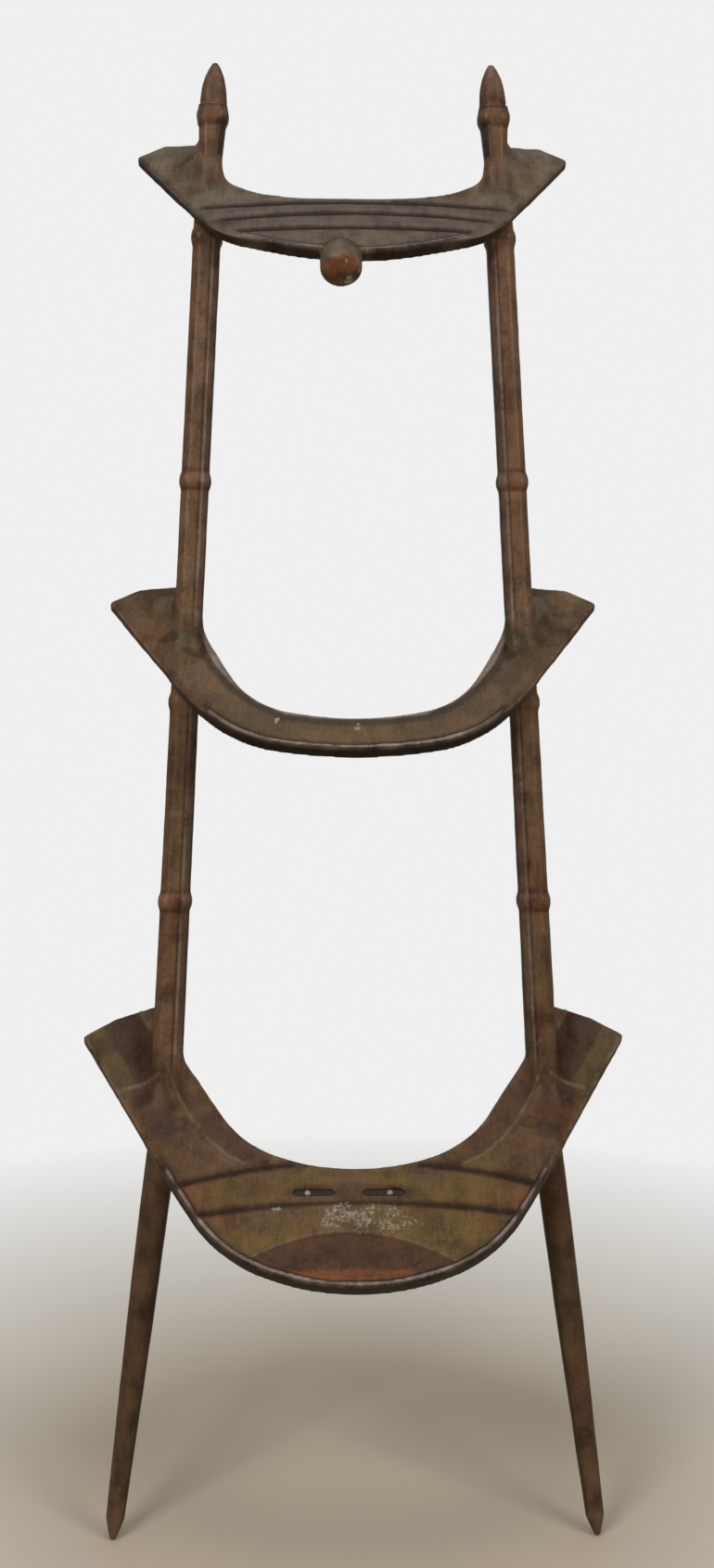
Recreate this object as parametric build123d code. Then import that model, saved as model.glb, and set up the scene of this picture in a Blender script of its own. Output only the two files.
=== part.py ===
from build123d import *
import os
from dataclasses import dataclass
from math import cos, radians, sin, sqrt, tan

# Camel saddle frame, stood on its leg ends and leaning back as against a wall.
# Millimetres and degrees. X runs across the frame, -Y is the front and +Z is up.

# Pose of the frame
LEAN_ANGLE = 11.5             # side poles, back from the vertical
RAKE_ANGLE = 42.0             # faces of the bows, below the horizontal

# Bows, measured up the lean from the floor to where the axis of a pole meets a face
POLE_TOP = 1490.0             # tip of the finial
TOP_BOW_DROP = 126.0          # from the tip of the finial to the top bow
BOTTOM_BOW_HEIGHT = 456.0
MID_BOW_RISE = 440.0          # from the bottom bow to the mid bow
TOP_BOW_HEIGHT = POLE_TOP - TOP_BOW_DROP
MID_BOW_HEIGHT = BOTTOM_BOW_HEIGHT + MID_BOW_RISE

# Side poles
POLE_FOOT_DROP = 52.0         # from the bottom bow to the joint of pole and leg
POLE_FOOT = BOTTOM_BOW_HEIGHT - POLE_FOOT_DROP
POLE_TOP_SPREAD = 141.5       # from the middle of the frame to a finial
POLE_FOOT_SPREAD = 191.5      # from the middle of the frame to a pole's foot
POLE_UPPER_WIDTH = 28.0
POLE_LOWER_WIDTH = 31.0
POLE_CORNER_SHARE = 0.24      # chamfer of the eight-sided section
NECK_WIDTH = 23.0
NECK_DROP = 104.0             # from the tip of the finial to the thinnest part of the neck
NECK_LENGTH = 55.0            # over which the shaft draws in to the neck
SHOULDER_WIDTH = 30.0
SHOULDER_DROP = 44.0          # from the tip of the finial to the shoulder
FINIAL_BASE_WIDTH = 22.5
FINIAL_TIP_WIDTH = 5.5
FINIAL_RISE_SHARES = (0.0, 0.40, 0.66, 0.86)
FINIAL_WIDTH_SHARES = (1.0, 0.91, 0.79, 0.53)

# Legs
LEG_SIDES = 16
LEG_FOOT_SPREAD = 240.5       # from the middle of the frame to the middle of a foot
LEG_TOP_WIDTH = 31.0
LEG_MIDDLE_WIDTH = 27.0
LEG_FOOT_WIDTH = 19.0
LEG_TIP_WIDTH = 7.0
LEG_TIP_LENGTH = 20.0         # of the taper below the width of the foot
TENON_WIDTH = 15.0
TENON_LENGTH = 34.0

# Collars on the poles
COLLAR_HEIGHT = 16.0
COLLAR_PROUD = 2.0
COLLAR_SLOPE = 5.0            # length of the slope at each end
COLLAR_END_SHARE = 0.25
FINIAL_COLLAR_DROP = 57.0     # from the tip of the finial to the middle of the top collar
TOP_COLLAR_GAP = 17.0         # from the underside of the top bow at the pole to its collar
MID_COLLAR_GAP = 22.0
UPPER_COLLAR_SHARE = 0.346    # place of a mid-way collar between two bows
LOWER_COLLAR_SHARE = 0.40

# Hide webs: a cuff round the pole, cut on the slant, and a gusset from the cuff down to the ear
WEB_PROUD = 1.4
WEB_INNER_RISE = 26.0         # of the cuff up the inner side of the pole
WEB_OUTER_RISE = 50.0         # and up its outer side
WEB_TIP_RISE = 46.0           # top of the gusset, up the pole
WEB_TIP_INSET = 2.0
WEB_START_SHARE = 0.9         # outer end of the gusset's front, as a share of the pole's half width
WEB_WAIST_SHARE = 0.20        # height of the gusset's widest place, as a share of the ear's end rise
WEB_TOP_SHARE = 0.78          # height of its upper end, as a share of the ear's end rise

# Top bow: half widths from the axis of a pole or the middle, and depths down the rake from the axes
TOP_THICKNESS = 13.0
TOP_EAR_REACH = 77.0          # from the axis of a pole to the outer corner of an ear
TOP_CORNER_RISE = 48.0
TOP_KNEE_RISE = 69.0
TOP_END_RISE = 72.0
TOP_INNER_DEPTH = 19.5
TOP_OUTER_DEPTH = 109.0
TOP_HIP_REACH = 17.0          # from the axis of a pole to the hip of the outer edge
TOP_HIP_DEPTH = 42.0
TOP_RIM_DEPTH = 72.0          # where the rim starts
TOP_WEB_FRONT = 11.0          # of the web on the face, in front of the pole
TOP_WEB_REACH_SHARE = 0.30    # width of the web on the ear, as a share of the ear's reach
TOP_INNER_SHARES = ((0.37, 0.98), (0.70, 0.79))
TOP_OUTER_SHARES = ((0.39, 0.88), (0.676, 0.675))
REED_MIDDLE_SHARES = (0.09, 0.31, 0.60)
REED_END_SHARES = (-0.05, 0.36, 0.74)

# Pommel knob on the top bow
KNOB_SHIFT = -14.0            # it sits a little to the left of the middle
KNOB_WIDTH = 42.0
KNOB_PROJECTION = 26.0
KNOB_SEAT = 22.0
KNOB_CROWN = 7.0              # height of the crowned end
KNOB_CROWN_SHARES = ((1.0, 0.0), (0.93, 0.45), (0.72, 0.86), (0.35, 1.0))

# Mid bow
MID_THICKNESS = 13.0
MID_EAR_REACH = 83.0
MID_CORNER_RISE = 54.0
MID_KNEE_RISE = 73.0
MID_END_RISE = 79.0
MID_INNER_DEPTH = 102.0
MID_OUTER_DEPTH = 145.0
MID_HIP_REACH = 18.0
MID_HIP_DEPTH = 46.0
MID_WEB_FRONT = 20.0
MID_WEB_REACH_SHARE = 0.30
MID_INNER_SHARES = ((0.43, 0.933), (0.784, 0.59))
MID_OUTER_SHARES = ((0.406, 0.927), (0.758, 0.586))
MID_PEG_SHIFT = 10.0          # from the axis of a pole inwards
MID_PEG_DEPTH = 52.0

# Bottom bow
BOTTOM_THICKNESS = 15.0
BOTTOM_EAR_REACH = 87.5
BOTTOM_CORNER_RISE = 49.0
BOTTOM_KNEE_RISE = 70.0
BOTTOM_END_RISE = 91.0
BOTTOM_INNER_DEPTH = 103.0
BOTTOM_OUTER_DEPTH = 231.0
BOTTOM_HIP_REACH = 20.0
BOTTOM_HIP_DEPTH = 70.0
BOTTOM_WEB_FRONT = 19.0
BOTTOM_WEB_REACH_SHARE = 0.16
BOTTOM_INNER_SHARES = ((0.42, 0.904), (0.761, 0.533))
BOTTOM_OUTER_SHARES = ((0.437, 0.885), (0.76, 0.534))
UPPER_JOINT_RISE = 7.0        # of the joint of the arms and the middle board, above the inner edge
UPPER_JOINT_SAG = 21.0
LOWER_JOINT_SHARE = 0.29      # depth of the joint of the middle and lower boards, in the band
LOWER_JOINT_SAG = 14.0
JOINT_HALF = 160.0            # half width over which a joint sags
ARM_START_HALF = 60.0         # the upper joint starts here, and the board is whole between its two ends
BOTTOM_PEG_SHIFT = 15.0       # from the axis of a pole inwards
BOTTOM_PEG_DEPTH = 54.0

# Inner lip strips of the bottom bow
LIP_WIDTH = 25.0
LIP_END_HALF = 78.0           # where the ridge beside the strip runs out on the upper joint
LIP_EAR_SHARE = 0.40          # width of the strip at the ear
LIP_PLACE_SHARES = (1.0, 0.78, 0.60, 0.44)
LIP_WIDTH_SHARES = (1.0, 1.0, 0.9, 0.5)

# Cross ties on the arms of the bottom bow, beside the poles
TIE_DEPTH = 4.0
TIE_WIDTH = 7.0
TIE_PROUD = 1.8
TIE_SLOPE = 14.0
TIE_END_GAP = 5.0

# Lens panel in the lower board
PANEL_SHIFT = -9.0
PANEL_HALF = 91.0
PANEL_TOP_SHARE = 0.54        # depth of its top, as a share of the band
PANEL_CORNER_SHARE = 0.70     # depth of its corners
PANEL_WALL = 4.0
PANEL_SUNK = 1.5
PANEL_THICKNESS = 6.0

# Thongs and studs in the slots of the middle board
SLOT_SHIFT = -8.0
SLOT_SPACING = 68.0
SLOT_LENGTH = 40.0
SLOT_WIDTH = 6.5
SLOT_SHARE = 0.21             # depth of the slots, as a share of the band
THONG_SUNK = 2.2
STUD_WIDTH = 6.0
STUD_PROUD = 2.0

# Shared sizes of the bows
RIM_WIDTH = 8.0
RIM_PROUD = 1.8
RIM_BEVEL = 2.2
EDGE_BEVEL = 2.4
CORNER_ROUND = 3.5
GROOVE_RADIUS = 3.6
GROOVE_DEPTH = 2.4
PEG_WIDTH = 11.0
PEG_PROUD = 1.2
OVERRUN = 40.0
KNEE_SHARE = 0.63             # knee of an ear, as a share of the ear's reach
START_SHARE = 1.6             # start of the inner edge, as a share of the pole's half width


@dataclass(frozen=True)
class Bow:
    """Sizes of one bow in the plane of its face."""

    height: float
    thickness: float
    ear_reach: float
    corner_rise: float
    knee_rise: float
    end_rise: float
    inner_depth: float
    outer_depth: float
    hip_reach: float
    hip_depth: float
    rim_depth: float
    web_front: float
    web_reach_share: float
    inner_shares: tuple
    outer_shares: tuple


TOP_BOW = Bow(
    TOP_BOW_HEIGHT,
    TOP_THICKNESS,
    TOP_EAR_REACH,
    TOP_CORNER_RISE,
    TOP_KNEE_RISE,
    TOP_END_RISE,
    TOP_INNER_DEPTH,
    TOP_OUTER_DEPTH,
    TOP_HIP_REACH,
    TOP_HIP_DEPTH,
    TOP_RIM_DEPTH,
    TOP_WEB_FRONT,
    TOP_WEB_REACH_SHARE,
    TOP_INNER_SHARES,
    TOP_OUTER_SHARES,
)
MID_BOW = Bow(
    MID_BOW_HEIGHT,
    MID_THICKNESS,
    MID_EAR_REACH,
    MID_CORNER_RISE,
    MID_KNEE_RISE,
    MID_END_RISE,
    MID_INNER_DEPTH,
    MID_OUTER_DEPTH,
    MID_HIP_REACH,
    MID_HIP_DEPTH,
    MID_HIP_DEPTH,
    MID_WEB_FRONT,
    MID_WEB_REACH_SHARE,
    MID_INNER_SHARES,
    MID_OUTER_SHARES,
)
BOTTOM_BOW = Bow(
    BOTTOM_BOW_HEIGHT,
    BOTTOM_THICKNESS,
    BOTTOM_EAR_REACH,
    BOTTOM_CORNER_RISE,
    BOTTOM_KNEE_RISE,
    BOTTOM_END_RISE,
    BOTTOM_INNER_DEPTH,
    BOTTOM_OUTER_DEPTH,
    BOTTOM_HIP_REACH,
    BOTTOM_HIP_DEPTH,
    BOTTOM_HIP_DEPTH,
    BOTTOM_WEB_FRONT,
    BOTTOM_WEB_REACH_SHARE,
    BOTTOM_INNER_SHARES,
    BOTTOM_OUTER_SHARES,
)


def lean_point(x, up):
    """A point in the leaning plane of the poles, x across and up the lean."""
    return Vector(x, up * sin(radians(LEAN_ANGLE)), up * cos(radians(LEAN_ANGLE)))


def lean_plane(x, up):
    """The plane square to the lean through such a point."""
    return Plane(origin=lean_point(x, up), x_dir=(1, 0, 0), z_dir=lean_point(0, 1))


def bow_plane(bow, raised=0.0):
    """The face plane of a bow: its Y runs up the rake and its Z out of the face."""
    normal = Vector(0, -sin(radians(RAKE_ANGLE)), cos(radians(RAKE_ANGLE)))
    return Plane(origin=lean_point(0, bow.height) + normal * raised, x_dir=(1, 0, 0), z_dir=normal)


def mirrored(shape):
    """The left-hand twin of a right-hand shape."""
    return mirror(shape, about=Plane.YZ)


# Poles and legs


def pole_x(up):
    """Distance of the axis of a pole from the middle of the frame."""
    share = (up - POLE_FOOT) / (POLE_TOP - POLE_FOOT)
    return POLE_FOOT_SPREAD + (POLE_TOP_SPREAD - POLE_FOOT_SPREAD) * share


def shaft_stations():
    """Heights up the lean and widths of the shaft, from its foot to the shoulder."""
    neck = POLE_TOP - NECK_DROP
    return [
        (POLE_FOOT, POLE_LOWER_WIDTH),
        (MID_BOW_HEIGHT, POLE_UPPER_WIDTH),
        (neck - NECK_LENGTH, POLE_UPPER_WIDTH),
        (neck, NECK_WIDTH),
        (POLE_TOP - SHOULDER_DROP, SHOULDER_WIDTH),
    ]


def shaft_width(up):
    """Width of the shaft at a height, between its stations."""
    stations = shaft_stations()
    for (low, low_width), (high, high_width) in zip(stations, stations[1:]):
        if up <= high:
            return low_width + (high_width - low_width) * (up - low) / (high - low)
    return stations[-1][1]


def eight_sided(width, proud=0.0):
    """Section of a pole: a square with wide chamfers."""
    outer = width + 2 * proud
    return chamfer(Rectangle(outer, outer).vertices(), width * POLE_CORNER_SHARE)


def stacked(stations):
    """Eight-sided solid through a list of heights and widths."""
    return loft([lean_plane(pole_x(up), up) * eight_sided(width) for up, width in stations], ruled=True)


def side_pole():
    """Right-hand pole with its flared neck and carved finial."""
    shoulder = POLE_TOP - SHOULDER_DROP
    carved = [
        (shoulder + rise * SHOULDER_DROP, share * FINIAL_BASE_WIDTH)
        for rise, share in zip(FINIAL_RISE_SHARES, FINIAL_WIDTH_SHARES)
    ]
    return stacked(shaft_stations()) + stacked(carved + [(POLE_TOP, FINIAL_TIP_WIDTH)])


def leg_plane():
    """Plane square to the right-hand leg at its foot, and the length of the leg."""
    foot = Vector(LEG_FOOT_SPREAD, 0, LEG_FOOT_WIDTH / 2)
    line = lean_point(POLE_FOOT_SPREAD, POLE_FOOT) - foot
    return Plane(origin=foot, x_dir=Vector(line.Z, 0, -line.X), z_dir=line), line.length


def tenon():
    """Round tenon on top of the right-hand leg."""
    plane, length = leg_plane()
    seat = plane.offset(length - LEG_TOP_WIDTH / 2)
    height = LEG_TOP_WIDTH / 2 + TENON_LENGTH
    return seat * Cylinder(TENON_WIDTH / 2, height, align=(Align.CENTER, Align.CENTER, Align.MIN))


def leg():
    """Right-hand leg: a whittled taper with a blunt tip and a round tenon on top."""
    plane, length = leg_plane()
    low = -LEG_FOOT_WIDTH / 2
    reach = length + LEG_TOP_WIDTH / 2
    stations = [
        (low, LEG_TIP_WIDTH),
        (low + LEG_TIP_LENGTH, LEG_FOOT_WIDTH),
        (reach / 2, LEG_MIDDLE_WIDTH),
        (reach, LEG_TOP_WIDTH),
    ]
    taper = loft([plane.offset(up) * RegularPolygon(width / 2, LEG_SIDES) for up, width in stations], ruled=True)
    return split(taper, bisect_by=lean_plane(0, POLE_FOOT), keep=Keep.BOTTOM) + tenon()


# Collars


def collar(up, shaft):
    """Eight-sided collar round the right-hand pole."""
    half = COLLAR_HEIGHT / 2
    waist = half - COLLAR_SLOPE
    steps = ((-half, COLLAR_END_SHARE), (-waist, 1), (waist, 1), (half, COLLAR_END_SHARE))
    sections = []
    for rise, share in steps:
        place = up + rise
        sections.append(lean_plane(pole_x(place), place) * eight_sided(shaft_width(place), share * COLLAR_PROUD))
    return loft(sections, ruled=True) - shaft


def under_bow(bow, gap):
    """Height of the collar that sits below a bow."""
    crossing = radians(RAKE_ANGLE + LEAN_ANGLE)
    underside = bow.thickness / cos(crossing)
    front = shaft_width(bow.height) / 2 * tan(crossing)
    return bow.height - underside - front - gap


def collar_heights():
    """Names and heights of the five collars of a pole."""
    upper = MID_BOW_HEIGHT + UPPER_COLLAR_SHARE * (TOP_BOW_HEIGHT - MID_BOW_HEIGHT)
    lower = BOTTOM_BOW_HEIGHT + LOWER_COLLAR_SHARE * (MID_BOW_HEIGHT - BOTTOM_BOW_HEIGHT)
    return {
        "finial_collar": POLE_TOP - FINIAL_COLLAR_DROP,
        "top_bow_collar": under_bow(TOP_BOW, TOP_COLLAR_GAP),
        "upper_collar": upper,
        "mid_bow_collar": under_bow(MID_BOW, MID_COLLAR_GAP),
        "lower_collar": lower,
    }


# Outline and blank of a bow


def ear_points(bow):
    """Start of the inner edge, end, knee and corner of the right-hand ear, from the inside out."""
    axis = pole_x(bow.height)
    half = shaft_width(bow.height) / 2
    return [
        Vector(axis - half, START_SHARE * half),
        Vector(axis, bow.end_rise),
        Vector(axis + KNEE_SHARE * bow.ear_reach, bow.knee_rise),
        Vector(axis + bow.ear_reach, bow.corner_rise),
    ]


def edge_points(depth, end, shares):
    """Points of the right half of an edge, from the middle of the bow outwards."""
    fall = end.Y + depth
    return [Vector(0, -depth), *(Vector(end.X * across, end.Y - fall * down) for across, down in shares), end]


def arc_chain(points):
    """Arcs that run smoothly through points, and start level in the middle of the bow."""
    arcs = []
    direction = Vector(1, 0)
    for start, stop in zip(points, points[1:]):
        arcs.append(TangentArc(start, stop, tangent=direction))
        direction = arcs[-1] % 1
    return arcs


def inner_edge(bow):
    """Right half of the inner edge, from the middle to the pole."""
    return arc_chain(edge_points(bow.inner_depth, ear_points(bow)[0], bow.inner_shares))


def hip(bow):
    """Place where the outer edge turns into the side of the ear."""
    return Vector(pole_x(bow.height) + bow.hip_reach, -bow.hip_depth)


def outer_edge(bow):
    """Right half of the outer edge, from the middle to the hip."""
    return arc_chain(edge_points(bow.outer_depth, hip(bow), bow.outer_shares))


def bow_face(bow):
    """Whole face of a bow."""
    start, end, knee, corner = ear_points(bow)
    half = [
        *inner_edge(bow),
        *outer_edge(bow),
        Line(start, end),
        Line(end, knee),
        Line(knee, corner),
        Line(corner, hip(bow)),
    ]
    return make_face(half + [mirrored(edge) for edge in half])


def bow_blank(bow):
    """Board of a bow with rounded ears and bevelled edges on both faces."""
    board = extrude(bow_face(bow), amount=-bow.thickness)
    upright = []
    for point in ear_points(bow):
        for side in (-1, 1):
            spot = Vector(side * point.X, point.Y, -bow.thickness / 2)
            upright.append(board.edges().filter_by(Axis.Z).sort_by_distance(spot)[0])
    board = fillet(upright, CORNER_ROUND)
    faces = board.faces().sort_by(Axis.Z)
    return bow_plane(bow) * chamfer(faces[0].edges() + faces[-1].edges(), EDGE_BEVEL)


def standing(face, below, above):
    """Face stretched both ways from its own plane."""
    return extrude(Pos(0, 0, -below) * face, amount=below + above, dir=(0, 0, 1))


def prism(bow, face, below, above):
    """Face stretched both ways from the face plane of a bow."""
    return bow_plane(bow) * standing(face, below, above)


def through(bow, face):
    """Face stretched clear through a bow."""
    return prism(bow, face, bow.thickness + OVERRUN, OVERRUN)


# Joints across a bow


@dataclass(frozen=True)
class Sag:
    """Arc across a bow: its depth in the middle, and its sag over a half width."""

    depth: float
    sag: float
    half: float

    def depth_at(self, across):
        """Depth of the arc at a distance from the middle."""
        radius = (self.half**2 + self.sag**2) / (2 * self.sag)
        return self.depth + radius - sqrt(radius**2 - across**2)

    def line(self, start, stop):
        """The arc itself from one place across the bow to another."""
        places = (start, (start + stop) / 2, stop)
        return ThreePointArc([(place, -self.depth_at(place)) for place in places])


def above(bow, sag, start, stop):
    """Everything of a bow above such an arc, between two places across it."""
    top = bow.end_rise + OVERRUN
    arc = sag.line(start, stop)
    return through(bow, make_face([arc, Polyline(arc @ 1, (stop, top), (start, top), arc @ 0)]))


def groove(bow, sag, start, stop):
    """Round channel along such an arc on the face of a bow."""
    path = bow_plane(bow, GROOVE_RADIUS - GROOVE_DEPTH) * sag.line(start, stop)
    return sweep(Plane(origin=path @ 0, z_dir=path % 0) * Circle(GROOVE_RADIUS), path=path)


def divided(bow, board, sags):
    """Board cut along arcs from the ears down, with a groove worked along each joint."""
    half = pole_x(bow.height) + bow.ear_reach + OVERRUN
    pieces = []
    for sag in sags:
        upper = above(bow, sag, -half, half)
        pieces.append(board & upper)
        board = board - upper
    pieces.append(board)
    grooves = [groove(bow, sag, -half, half) for sag in sags]
    return [piece - grooves for piece in pieces]


# Raised rim along the front edge of a bow


def beside(arcs, distance):
    """The chain of arcs that runs inside another one at a distance."""
    places = [(arcs[0] @ 0, arcs[0] % 0), *((arc @ 1, arc % 1) for arc in arcs)]
    return arc_chain([place + Vector(-along.Y, along.X) * distance for place, along in places])


def rim_half(bow):
    """Strip along the right half of the outer edge, below the depth where the rim starts."""
    outer = outer_edge(bow)
    inner = beside(outer, RIM_WIDTH)
    ends = [Line(outer[0] @ 0, inner[0] @ 0), Line(outer[-1] @ 1, inner[-1] @ 1)]
    side = 2 * (hip(bow).X + OVERRUN)
    below = Pos(0, -bow.rim_depth) * Rectangle(side, side, align=(Align.CENTER, Align.MAX))
    return make_face([*outer, *inner, *ends]) & below


def rim_solid(bow, face):
    """Rim that stands proud of the face, with a bevelled bead on top."""
    solid = standing(face, bow.thickness, RIM_PROUD)
    beads = [edge for edge in solid.faces().sort_by(Axis.Z)[-1].edges() if edge.length > RIM_WIDTH * 2]
    return bow_plane(bow) * chamfer(beads, RIM_BEVEL)


# Pieces of the top bow


def reed_sags():
    """Arcs between the reeds of the top bow."""
    turn, end = edge_points(TOP_BOW.outer_depth, hip(TOP_BOW), TOP_BOW.outer_shares)[-2:]
    band = TOP_BOW.outer_depth - RIM_WIDTH - TOP_BOW.inner_depth
    sags = []
    for middle_share, end_share in zip(REED_MIDDLE_SHARES, REED_END_SHARES):
        depth = TOP_BOW.inner_depth + middle_share * band
        side = end + (turn - end) * end_share
        sags.append(Sag(depth, -side.Y - depth, side.X))
    return sags


def knob():
    """Pommel knob that swells out of the lower edge of the top bow, with a crowned end."""
    plane = bow_plane(TOP_BOW, -TOP_BOW.thickness / 2)
    seat = plane.from_local_coords(Vector(KNOB_SHIFT, KNOB_SEAT - TOP_BOW.outer_depth, 0))
    outward = Plane(origin=seat, x_dir=(1, 0, 0), z_dir=-plane.y_dir)
    brow = KNOB_SEAT + KNOB_PROJECTION - KNOB_CROWN
    crown = [(KNOB_WIDTH / 2 * across, brow + KNOB_CROWN * out) for across, out in KNOB_CROWN_SHARES]
    top = brow + KNOB_CROWN
    profile = make_face(Polyline(
        (0, 0), (TOP_BOW.thickness / 2, 0), (KNOB_WIDTH / 2, KNOB_SEAT), *crown, (0, top), close=True
    ))
    return outward * revolve(Plane.XZ * profile, Axis.Z)


def top_bow(poles):
    """Yoke with both ears, three reeds, two rims and the knob."""
    right_face = rim_half(TOP_BOW)
    left_face = mirrored(right_face)
    pommel = knob()
    board = bow_blank(TOP_BOW) - poles
    board = board - [through(TOP_BOW, right_face), through(TOP_BOW, left_face), pommel]
    yoke, upper_reed, middle_reed, lower_reed = divided(TOP_BOW, board, reed_sags())
    return {
        "top_bow_yoke": yoke,
        "top_bow_upper_reed": upper_reed,
        "top_bow_middle_reed": middle_reed,
        "top_bow_lower_reed": lower_reed,
        "left_top_bow_rim": rim_solid(TOP_BOW, left_face) - pommel,
        "right_top_bow_rim": rim_solid(TOP_BOW, right_face) - pommel,
        "pommel_knob": pommel,
    }


# Pieces of the mid bow


def peg(bow, shift, depth):
    """Round peg with a low bevelled head, through the right-hand arm of a bow."""
    shank = Cylinder(PEG_WIDTH / 2, bow.thickness + PEG_PROUD, align=(Align.CENTER, Align.CENTER, Align.MIN))
    shank = chamfer(shank.edges().sort_by(Axis.Z)[-1], PEG_PROUD)
    return bow_plane(bow, -bow.thickness) * Pos(pole_x(bow.height) - shift, -depth) * shank


def mid_bow(poles):
    """Bent board with both ears, its rim and two pegs."""
    half_rim = rim_half(MID_BOW)
    rim = half_rim + mirrored(half_rim)
    right_peg = peg(MID_BOW, MID_PEG_SHIFT, MID_PEG_DEPTH)
    left_peg = mirrored(right_peg)
    board = bow_blank(MID_BOW) - poles
    return {
        "mid_bow_board": board - [through(MID_BOW, rim), right_peg, left_peg],
        "mid_bow_rim": rim_solid(MID_BOW, rim),
        "right_mid_bow_peg": right_peg,
        "left_mid_bow_peg": left_peg,
    }


# Pieces of the bottom bow


def band_depth(share):
    """Depth of a place between the inner and the outer edge of the bottom bow, in the middle."""
    return BOTTOM_INNER_DEPTH + share * (BOTTOM_OUTER_DEPTH - BOTTOM_INNER_DEPTH)


UPPER_JOINT = Sag(BOTTOM_INNER_DEPTH - UPPER_JOINT_RISE, UPPER_JOINT_SAG, JOINT_HALF)
LOWER_JOINT = Sag(band_depth(LOWER_JOINT_SHARE), LOWER_JOINT_SAG, JOINT_HALF)


def lip_region():
    """Right-hand region inside the ridge between the inner lip strip and the arm."""
    axis = pole_x(BOTTOM_BOW.height)
    edge = Wire(inner_edge(BOTTOM_BOW))
    ridge = [Vector(axis + LIP_EAR_SHARE * BOTTOM_BOW.ear_reach, BOTTOM_BOW.end_rise)]
    for place, share in zip(LIP_PLACE_SHARES, LIP_WIDTH_SHARES):
        along = edge % place
        ridge.append(edge @ place + Vector(along.Y, -along.X) * LIP_WIDTH * share)
    ridge.append(Vector(LIP_END_HALF, -UPPER_JOINT.depth_at(LIP_END_HALF) - GROOVE_RADIUS))
    low = ridge[-1] - Vector(0, GROOVE_RADIUS)
    top = ridge[0] + Vector(0, OVERRUN)
    return make_face(Polyline(*ridge, low, (0, low.Y), (0, top.Y), top, close=True))


def tie():
    """Right-hand cross tie, a low bar from the pole to the outer edge of the arm."""
    corner = ear_points(BOTTOM_BOW)[-1]
    side = hip(BOTTOM_BOW) - corner
    start = Vector(pole_x(BOTTOM_BOW.height), -TIE_DEPTH)
    along = Vector(cos(radians(TIE_SLOPE)), -sin(radians(TIE_SLOPE)))
    gap = start - corner
    reach = (gap.Y * side.X - gap.X * side.Y) / (along.X * side.Y - along.Y * side.X)
    length = reach - TIE_END_GAP
    place = bow_plane(BOTTOM_BOW) * Pos(start.X, start.Y) * Rot(0, 0, -TIE_SLOPE)
    bar = Box(length, TIE_WIDTH, TIE_PROUD, align=(Align.MIN, Align.CENTER, Align.MIN))
    ridge = bar.faces().sort_by(Axis.Z)[-1].edges()
    return place * chamfer(ridge, TIE_PROUD / 2)


def lens_face():
    """Outline of the lens panel, between two arcs that meet in points."""
    corner = band_depth(PANEL_CORNER_SHARE)
    left = (PANEL_SHIFT - PANEL_HALF, -corner)
    right = (PANEL_SHIFT + PANEL_HALF, -corner)
    low = BOTTOM_BOW.outer_depth - RIM_WIDTH - PANEL_WALL
    return make_face([
        ThreePointArc(left, (PANEL_SHIFT, -band_depth(PANEL_TOP_SHARE)), right),
        ThreePointArc(left, (PANEL_SHIFT, -low), right),
    ])


def thong(side):
    """Leather thong that fills its slot, with a round stud; side is -1 for left and 1 for right."""
    place = Pos(SLOT_SHIFT + side * SLOT_SPACING / 2, -band_depth(SLOT_SHARE))
    slot = place * SlotOverall(SLOT_LENGTH, SLOT_WIDTH)
    band = prism(BOTTOM_BOW, slot, BOTTOM_BOW.thickness, -THONG_SUNK)
    head = Cone(STUD_WIDTH / 2, STUD_WIDTH / 4, STUD_PROUD, align=(Align.CENTER, Align.CENTER, Align.MIN))
    stud = bow_plane(BOTTOM_BOW, -THONG_SUNK) * place * Pos(side * STUD_WIDTH, 0) * head
    return through(BOTTOM_BOW, slot), band + stud


def bottom_bow(poles):
    """Arms, lips, middle and lower boards, panel, rim, ties, pegs and thongs."""
    half_rim = rim_half(BOTTOM_BOW)
    rim = half_rim + mirrored(half_rim)
    right_peg = peg(BOTTOM_BOW, BOTTOM_PEG_SHIFT, BOTTOM_PEG_DEPTH)
    lens = lens_face()
    left_slot, left_thong = thong(-1)
    right_slot, right_thong = thong(1)
    board = bow_blank(BOTTOM_BOW) - poles - through(BOTTOM_BOW, rim)
    stop = pole_x(BOTTOM_BOW.height) + BOTTOM_BOW.ear_reach + OVERRUN
    outside = above(BOTTOM_BOW, UPPER_JOINT, ARM_START_HALF, stop)
    channel = groove(BOTTOM_BOW, UPPER_JOINT, ARM_START_HALF, stop)
    channels = [channel, mirrored(channel)]
    right_side = (board & outside) - channel
    board = board - [outside, mirrored(outside)]
    middle, lower = divided(BOTTOM_BOW, board - channels, [LOWER_JOINT])
    region = through(BOTTOM_BOW, lip_region())
    pieces = {
        "inner_lip": right_side & region,
        "arm": right_side - region - right_peg,
        "peg": right_peg,
        "cross_tie": tie() - poles,
    }
    nodes = {}
    for name, piece in pieces.items():
        nodes[f"right_bottom_bow_{name}"] = piece
        nodes[f"left_bottom_bow_{name}"] = mirrored(piece)
    nodes["bottom_bow_middle_board"] = middle - [left_slot, right_slot]
    nodes["bottom_bow_lower_board"] = lower - prism(BOTTOM_BOW, lens, PANEL_SUNK + PANEL_THICKNESS, OVERRUN)
    nodes["bottom_bow_lens_panel"] = prism(BOTTOM_BOW, lens, PANEL_SUNK + PANEL_THICKNESS, -PANEL_SUNK)
    nodes["bottom_bow_rim"] = rim_solid(BOTTOM_BOW, rim)
    nodes["left_bottom_bow_thong"] = left_thong
    nodes["right_bottom_bow_thong"] = right_thong
    return nodes


# Hide webs


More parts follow.
